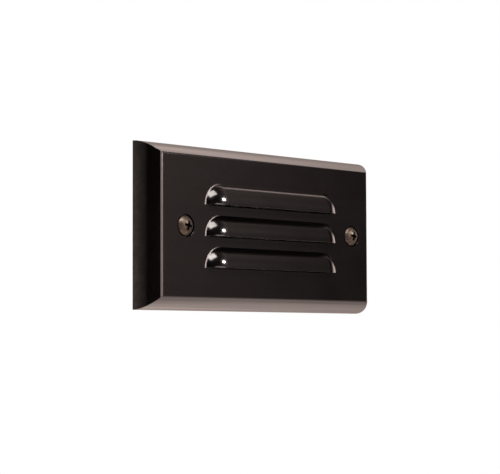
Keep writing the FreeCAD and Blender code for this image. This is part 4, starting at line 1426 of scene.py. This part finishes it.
@dataclass
class DomedScrew(SubAssembly):
    """A plate screw with a domed head, a cross recess and a cut thread."""

    side: Side
    head_radius: float = 3.45 * MM
    head_height: float = 2.3 * MM
    head_side: float = 0.5 * MM
    rim_round: float = 0.12 * MM
    length: float = 11.11 * MM
    major: float = 1.75 * MM
    minor: float = 1.38 * MM
    pitch: float = 0.79375 * MM
    plain: float = 1.0 * MM
    point: float = 0.7 * MM
    dome_steps: int = 14
    around: int = 64
    spin: float = math.radians(12)
    recess: CrossRecess = CrossRecess(4.1 * MM, 1.15 * MM, 1.9 * MM, 0.55)

    def __post_init__(self) -> None:
        """Take the screw's place from the frame and work out its dome."""
        self.name = self.side.name.lower()
        self.node = "faceplate_screw_" + self.name
        self.seat = middle_of(self.node)
        self.seat.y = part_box(self.node)[1].y - self.length
        rise = self.head_height - self.head_side
        self.dome_radius = (self.head_radius ** 2 + rise ** 2) / (2 * rise)
        self.dome_centre = self.dome_radius - self.head_height

    def build(self) -> None:
        """Turn the screw, cut its recess, wind its thread and mark the painted shade in its recess."""
        screw = turn_outline("domed_screw_" + self.name, self.outline(), self.seat, BACK, self.around)
        top = self.seat - BACK * (self.head_height + self.head_side)
        combine(screw, self.recess.cutter(top, BACK, self.spin), "DIFFERENCE")
        start, end = self.plain + self.pitch / 2, self.length - self.point
        ridge = Thread(self.minor, self.major, self.pitch).wound(self.seat, BACK, start, end)
        smooth(join_pieces([screw, ridge], screw.name), SMOOTH_TURNED)
        # The recess walls are marked for painted shade.
        mark(screw, "grime", self.grime)
        self.dress(screw, Body["SCREW_" + self.side.name], self.node)

    def outline(self) -> list[Point]:
        """Half the screw's section.

        Returns:
            (radius, distance behind the seat), from the middle of the dome to the point.
        """
        edge = math.asin(self.head_radius / self.dome_radius)
        dome = arc_points((0.0, self.dome_centre), self.dome_radius, -QUARTER_TURN, edge - QUARTER_TURN,
                          self.dome_steps)
        ease = self.rim_round
        return dome[:-1] + [
            (self.head_radius - ease / 3, -self.head_side - ease / 2),
            (self.head_radius, -self.head_side + ease), (self.head_radius, -ease),
            (self.head_radius - ease, 0.0), (self.major, 0.0), (self.major, self.plain),
            (self.minor, self.plain + (self.major - self.minor)), (self.minor, self.length - self.point),
            (self.minor - self.point / 2, self.length), (0.0, self.length)]

    def grime(self, centre: Vector, normal: Vector) -> float:
        """Painted shade on the walls of the recess.

        Args:
            centre: a face's centre.
            normal: its normal.

        Returns:
            1 there and 0 elsewhere.
        """
        away = centre - self.seat
        inside = (away - BACK * self.dome_centre).length < self.dome_radius - self.rim_round / 2
        return 1.0 if inside and math.hypot(away.x, away.z) < self.recess.span / 2 and away.y < 0 else 0.0


@dataclass
class KeeperWashers(SubAssembly):
    """The nylon washers that keep the two plate screws in the plate."""

    ease: float = 0.12 * MM

    def build(self) -> None:
        """Model a washer for each side."""
        for side in Side:
            self.eased("retaining_washer_" + side.name.lower(), Body["WASHER_" + side.name], self.ease)


@dataclass
class LensAssembly(SubAssembly):
    """What sits behind the face: foam ring, lens with its seal and frame, and their screws."""

    foam_ease: float = 0.6 * MM
    seal_ease: float = 0.25 * MM
    lens_ease: float = 0.4 * MM
    sheet_ease: float = 0.15 * MM

    def build(self) -> None:
        """Model the rings, the lens, its frame and the frame's four screws."""
        self.eased("faceplate_gasket", Body.PLATE, self.foam_ease, 3)
        self.eased("lens_gasket", Body.PLATE, self.seal_ease)
        self.eased("lens", Body.PLATE, self.lens_ease, 3)
        self.eased("lens_retainer", Body.PLATE, self.sheet_ease)
        self.screws("lens_retainer_screws", Body.PLATE, 1, Recess.CROSS)


@dataclass
class BackBox(SubAssembly):
    """The cast box with its flange, bosses and ribs, its threaded hub and the rubber bushing."""

    cast_ease: float = 0.35 * MM
    rubber_ease: float = 0.3 * MM
    neck: float = 9.25 * MM
    bore: float = 7.75 * MM
    neck_length: float = 2.0 * MM
    collar: float = 1.6 * MM
    pitch: float = 1.814 * MM
    thread_depth: float = 0.95 * MM
    hub_ease: float = 0.4 * MM
    hub_around: int = 96

    def build(self) -> None:
        """Model the three pieces."""
        self.eased("housing", Body.HOUSING, self.cast_ease)
        self.hub()
        self.eased("cord_bushing", Body.HOUSING, self.rubber_ease, 3)

    def hub(self) -> None:
        """Turn the hub and wind its pipe thread."""
        low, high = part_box("rear_hub")
        start = middle_of("rear_hub")
        start.y = low.y
        major, length = (high.x - low.x) / 2, high.y - low.y
        root, ease, neck_end = major - self.thread_depth, self.hub_ease, self.neck_length
        thread_start = neck_end + self.collar
        profile = [(self.bore, 0.0), (self.neck, 0.0), (self.neck, neck_end), (major, neck_end),
                   (major, thread_start), (root, thread_start + self.thread_depth), (root, length - ease),
                   (root - ease, length), (self.bore + ease, length), (self.bore, length - ease)]
        hub = turn_outline("threaded_hub", profile + profile[:1], start, BACK, self.hub_around)
        ridge = Thread(root, major, self.pitch).wound(start, BACK, thread_start, length - ease)
        smooth(join_pieces([hub, ridge], hub.name), SMOOTH_TURNED)
        self.dress(hub, Body.HOUSING, "rear_hub")


@dataclass
class PressedReflector(SubAssembly):
    """The bright tray behind the lamp and its two screws."""

    sheet_ease: float = 0.12 * MM

    def build(self) -> None:
        """Model the tray and the screws."""
        self.eased("reflector", Body.HOUSING, self.sheet_ease)
        self.screws("reflector_screws", Body.HOUSING, -1, Recess.CROSS)


@dataclass
class WedgeLamp(SubAssembly):
    """The wedge-base lamp: envelope, bent base wires, posts and a coiled filament."""

    filament_wire: float = 0.035 * MM
    filament_turns: int = 26
    filament_sides: int = 6
    filament_steps: int = 14

    def build(self) -> None:
        """Model the four pieces; glass and drawn wire keep their own round edges."""
        for node in ("lamp_envelope", "lamp_base_wires", "filament_posts"):
            self.eased(node, Body.LAMP, 0.0)
        self.filament()

    def filament(self) -> None:
        """Wind the filament inside its CAD box, along Z between the posts."""
        low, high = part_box("lamp_filament")
        wire = self.filament_wire
        start = middle_of("lamp_filament")
        start.z = low.z + wire
        section = arc_points(((high.x - low.x) / 2 - wire, 0.0), wire, 0.0, FULL_TURN, self.filament_sides)
        coil = draw_outline("coiled_filament", [start + RIGHT * x + UP * z for x, z in section[:-1]])
        advance = (high.z - low.z - 2 * wire) / self.filament_turns
        coil = wind(coil, start, UP, self.filament_turns, self.filament_steps, advance)
        self.dress(smooth(coil, SMOOTH_WIRE), Body.LAMP, "lamp_filament")


@dataclass
class LampSocket(SubAssembly):
    """The socket on its bracket, with two stamped contacts."""

    resin_ease: float = 0.3 * MM
    contact_ease: float = 0.08 * MM
    sheet_ease: float = 0.15 * MM

    def build(self) -> None:
        """Model the socket, its contacts, the bracket and its screw."""
        self.eased("lamp_socket", Body.HOUSING, self.resin_ease)
        self.eased("socket_contact_front", Body.HOUSING, self.contact_ease)
        self.eased("socket_contact_back", Body.HOUSING, self.contact_ease)
        self.eased("socket_bracket", Body.HOUSING, self.sheet_ease)
        self.screws("bracket_screw", Body.HOUSING, -1, Recess.CROSS)


@dataclass
class TerminalBlock(SubAssembly):
    """The two-way block: moulding, sleeves, clamp screws and the screw that holds it."""

    moulding_ease: float = 0.35 * MM
    sleeve_ease: float = 0.1 * MM
    clamp_shank: float = 0.8 * MM
    pin_head: float = 0.8 * MM
    pin_shank: float = 0.4 * MM

    def build(self) -> None:
        """Model the block and everything in it."""
        self.eased("terminal_block", Body.HOUSING, self.moulding_ease, 3)
        self.eased("terminal_sleeves", Body.HOUSING, self.sleeve_ease)
        self.screws("terminal_screws", Body.HOUSING, -1, Recess.SLOT, shank=self.clamp_shank)
        self.screws("terminal_block_screw", Body.HOUSING, -1, Recess.SLOT, head_height=self.pin_head,
                    shank=self.pin_shank)


@dataclass
class InnerWiring(SubAssembly):
    """The two leads between the socket and the block."""

    cut_ease: float = 0.12 * MM
    cut_angle: float = 50.0

    def build(self) -> None:
        """Model both leads; only their cut ends are sharp enough to be eased."""
        for node in ("lead_black", "lead_white"):
            self.eased(node, Body.HOUSING, self.cut_ease, sharp=self.cut_angle)


# ------------------------------------------------------------------ camera and room

@dataclass(frozen=True)
class View:
    """The camera that took the picture, as fitted to the plate's outline."""

    place: Triple = (-0.4693, -0.4506, -0.0422)
    yaw: float = 0.8044
    pitch: float = 0.0623
    roll: float = -0.0036
    focal_pixels: float = 1813.5
    image_width: int = 500
    sensor_width: float = 36.0

    def build(self) -> None:
        """Set up the camera and make it the scene's."""
        right = Vector((math.cos(self.yaw), -math.sin(self.yaw), 0))
        forward = Vector((math.sin(self.yaw) * math.cos(self.pitch),
                          math.cos(self.yaw) * math.cos(self.pitch), math.sin(self.pitch)))
        up = right.cross(forward)
        tilted_right = right * math.cos(self.roll) + up * math.sin(self.roll)
        tilted_up = up * math.cos(self.roll) - right * math.sin(self.roll)
        lens = bpy.data.cameras.new("view")
        lens.sensor_fit = "HORIZONTAL"
        lens.sensor_width = self.sensor_width
        lens.lens = self.focal_pixels / self.image_width * self.sensor_width
        camera = bpy.data.objects.new("view", lens)
        bpy.context.scene.collection.objects.link(camera)
        turned = Matrix((tilted_right, tilted_up, -forward)).transposed()
        camera.matrix_world = Matrix.Translation(self.place) @ turned.to_4x4()
        bpy.context.scene.camera = camera


@dataclass(frozen=True)
class AreaLamp:
    """A soft lamp that looks at the plate; its roll is in degrees about its own direction."""

    name: str
    toward: Triple
    size: Point
    watts: float
    roll: float = 0.0
    distance: float = 1.1
    colour: Colour = (1.0, 0.92, 0.88)

    def hang(self) -> None:
        """Hang the lamp where the camera doesn't see it."""
        light = bpy.data.lights.new(self.name, "AREA")
        light.shape = "RECTANGLE"
        light.size, light.size_y = self.size
        light.energy = self.watts
        light.color = self.colour
        lamp = bpy.data.objects.new(self.name, light)
        bpy.context.scene.collection.objects.link(lamp)
        direction = Vector(self.toward).normalized()
        lamp.location = direction * self.distance
        turned = Matrix.Rotation(math.radians(self.roll), 3, "Z")
        lamp.rotation_euler = (direction.to_track_quat("Z", "Y").to_matrix() @ turned).to_euler()
        lamp.visible_camera = False


@dataclass(frozen=True)
class Studio:
    """A pale floor, a white room and two soft lamps.

    The levels from front to overhead are what reflections show, by the X, Y or Z of their direction.
    Front is before the plate, and band a bright strip in it, low and straight ahead. Back is beyond the
    wall plane, with overhead above it, and side is a strip far to the right.
    """

    floor_level: float = -0.16
    floor_size: float = 6.0
    floor_grey: float = 0.82
    floor_speck: float = 0.02
    floor_cells: float = 300.0
    floor_detail: float = 4.0
    floor_roughness: float = 0.9
    floor_specular: float = 0.2
    floor_fade: Stops = ((0.45, 0.0), (1.0, 1.0))
    floor_mirrored: Stops = ((0.22, 1.75), (0.42, 0.65))
    sky_diffuse: float = 0.40
    warmth: Colour = (1.0, 0.80, 0.735)
    front_levels: Stops = ((0.0, 0.0), (0.45, 0.28), (0.62, 0.54), (0.70, 0.40), (0.80, 0.03), (1.0, 0.0))
    front_rise: Stops = ((0.0, 0.78), (0.12, 1.15))
    band_low: Stops = ((0.0, 0.0), (0.04, 9.0))
    band_high: Stops = ((0.09, 1.0), (0.13, 0.0))
    band_depth: Stops = ((-0.95, 1.0), (-0.89, 0.0))
    side_edge: Stops = ((0.92, 0.0), (0.975, 3.0))
    side_height: Stops = ((0.30, 1.0), (0.50, 0.0))
    side_depth: Stops = ((0.30, 1.0), (0.45, 0.0))
    back_levels: Stops = ((-0.7, 0.80), (0.7, 0.30))
    back_fade: Stops = ((-0.10, 0.0), (0.60, 1.0))
    back_edge: Stops = ((-0.12, 0.0), (0.0, 1.0))
    overhead_levels: Stops = ((0.0, 0.3), (0.36, 0.52), (0.54, 1.05), (0.70, 2.65), (1.0, 3.0))
    overhead_edge: Stops = ((-0.04, 0.0), (0.08, 1.0))
    overhead_start: Stops = ((0.05, 0.0), (0.25, 1.0))
    lamps: tuple[AreaLamp, ...] = (
        AreaLamp("left_softbox", (-0.36, -0.44, 0.82), (0.66, 0.46), 16.0, 35.0),
        AreaLamp("right_lamp", (0.33, -0.84, 0.43), (0.26, 0.15), 12.0))

    def build(self) -> None:
        """Set up the room."""
        bpy.context.scene.view_settings.view_transform = "Standard"
        self.floor()
        self.sky()
        for lamp in self.lamps:
            lamp.hang()

    def floor(self) -> None:
        """Lay a wide floor."""
        floor = add_rectangle("floor", UP * self.floor_level, self.floor_size, self.floor_size)
        floor.data.materials.append(self.floor_finish())

    def floor_finish(self) -> bpy.types.Material:
        """Pale paint that turns pure white for the eye away from the light, and glows for mirrored rays.

        Returns:
            The material.
        """
        nodes = Nodes("pale_floor")
        speck = nodes.noise(self.floor_cells, self.floor_detail)
        grey, light = ((level,) * 3 for level in (self.floor_grey, self.floor_grey + self.floor_speck))
        nodes.set(Roughness=self.floor_roughness, Specular_IOR_Level=self.floor_specular,
                  Base_Color=nodes.tint(speck, grey, light))
        length = nodes.add("VectorMath")
        length.operation = "LENGTH"
        nodes.feed(length.inputs[0], nodes.place)
        distance, path = length.outputs["Value"], nodes.add("LightPath").outputs
        glossy = path["Is Glossy Ray"]
        glow, mixer = nodes.add("Emission"), nodes.add("MixShader")
        strength = nodes.mix(glossy, 1.0, nodes.spread(distance, self.floor_mirrored))
        nodes.feed(glow.inputs["Strength"], strength)
        nodes.feed(glow.inputs["Color"], nodes.tint(glossy, WHITE, self.warmth))
        seen = nodes.times(nodes.spread(distance, self.floor_fade), path["Is Camera Ray"])
        mirrored = nodes.maths("MAXIMUM", glossy, path["Is Transmission Ray"])
        nodes.feed(mixer.inputs["Fac"], nodes.maths("MAXIMUM", seen, mirrored))
        nodes.feed(mixer.inputs[1], nodes.shader.outputs[0])
        nodes.feed(mixer.inputs[2], glow.outputs[0])
        nodes.feed(nodes.tree.nodes["Material Output"].inputs["Surface"], mixer.outputs[0])
        return nodes.material

    def sky(self) -> None:
        """White for the eye, dim for plain light, and shaped for reflections."""
        world = bpy.data.worlds.new("room")
        bpy.context.scene.world = world
        world.use_nodes = True
        room = Ramps(world.node_tree)
        path = room.add("LightPath").outputs
        lit = room.mix(path["Is Glossy Ray"], self.sky_diffuse, self.reflected(room))
        passed = room.mix(path["Is Transmission Ray"], lit, 1.0)
        background = room.tree.nodes["Background"]
        room.feed(background.inputs["Strength"], room.mix(path["Is Camera Ray"], passed, 1.0))
        room.feed(background.inputs["Color"], room.tint(path["Is Glossy Ray"], WHITE, self.warmth))

    def reflected(self, room: Ramps) -> Socket:
        """What the room shows in reflections.

        Args:
            room: the world's node tree.

        Returns:
            The level in a ray's direction.
        """
        parts = room.add("SeparateXYZ")
        room.feed(parts.inputs[0], room.add("TexCoord").outputs["Generated"])
        across, depth, height = (parts.outputs[axis] for axis in "XYZ")
        front = room.times(room.curve(across, self.front_levels), room.spread(height, self.front_rise))
        band = room.times(room.spread(height, self.band_low), room.spread(height, self.band_high),
                          room.spread(depth, self.band_depth))
        low = room.times(room.spread(across, self.back_levels), room.spread(depth, self.back_fade))
        overhead = room.times(room.curve(height, self.overhead_levels),
                              room.spread(depth, self.overhead_edge))
        side = room.times(room.spread(across, self.side_edge), room.spread(height, self.side_height),
                          room.spread(depth, self.side_depth))
        behind = room.mix(room.spread(height, self.overhead_start), low, overhead)
        before = room.maths("ADD", front, band)
        return room.maths("ADD", room.mix(room.spread(depth, self.back_edge), before, behind), side)


# ------------------------------------------------------------------ everything in order

def main() -> None:
    """Build every sub-assembly."""
    logging.basicConfig(level=logging.INFO, format="%(message)s")
    View().build()
    Studio().build()
    finishes = Finishes()
    finishes.paint_nodes()
    Faceplate(finishes).build()
    for side in Side:
        DomedScrew(finishes, side).build()
    for assembly in (KeeperWashers, LensAssembly, BackBox, PressedReflector, WedgeLamp, LampSocket,
                     TerminalBlock, InnerWiring):
        assembly(finishes).build()


if __name__ == "__main__":
    main()
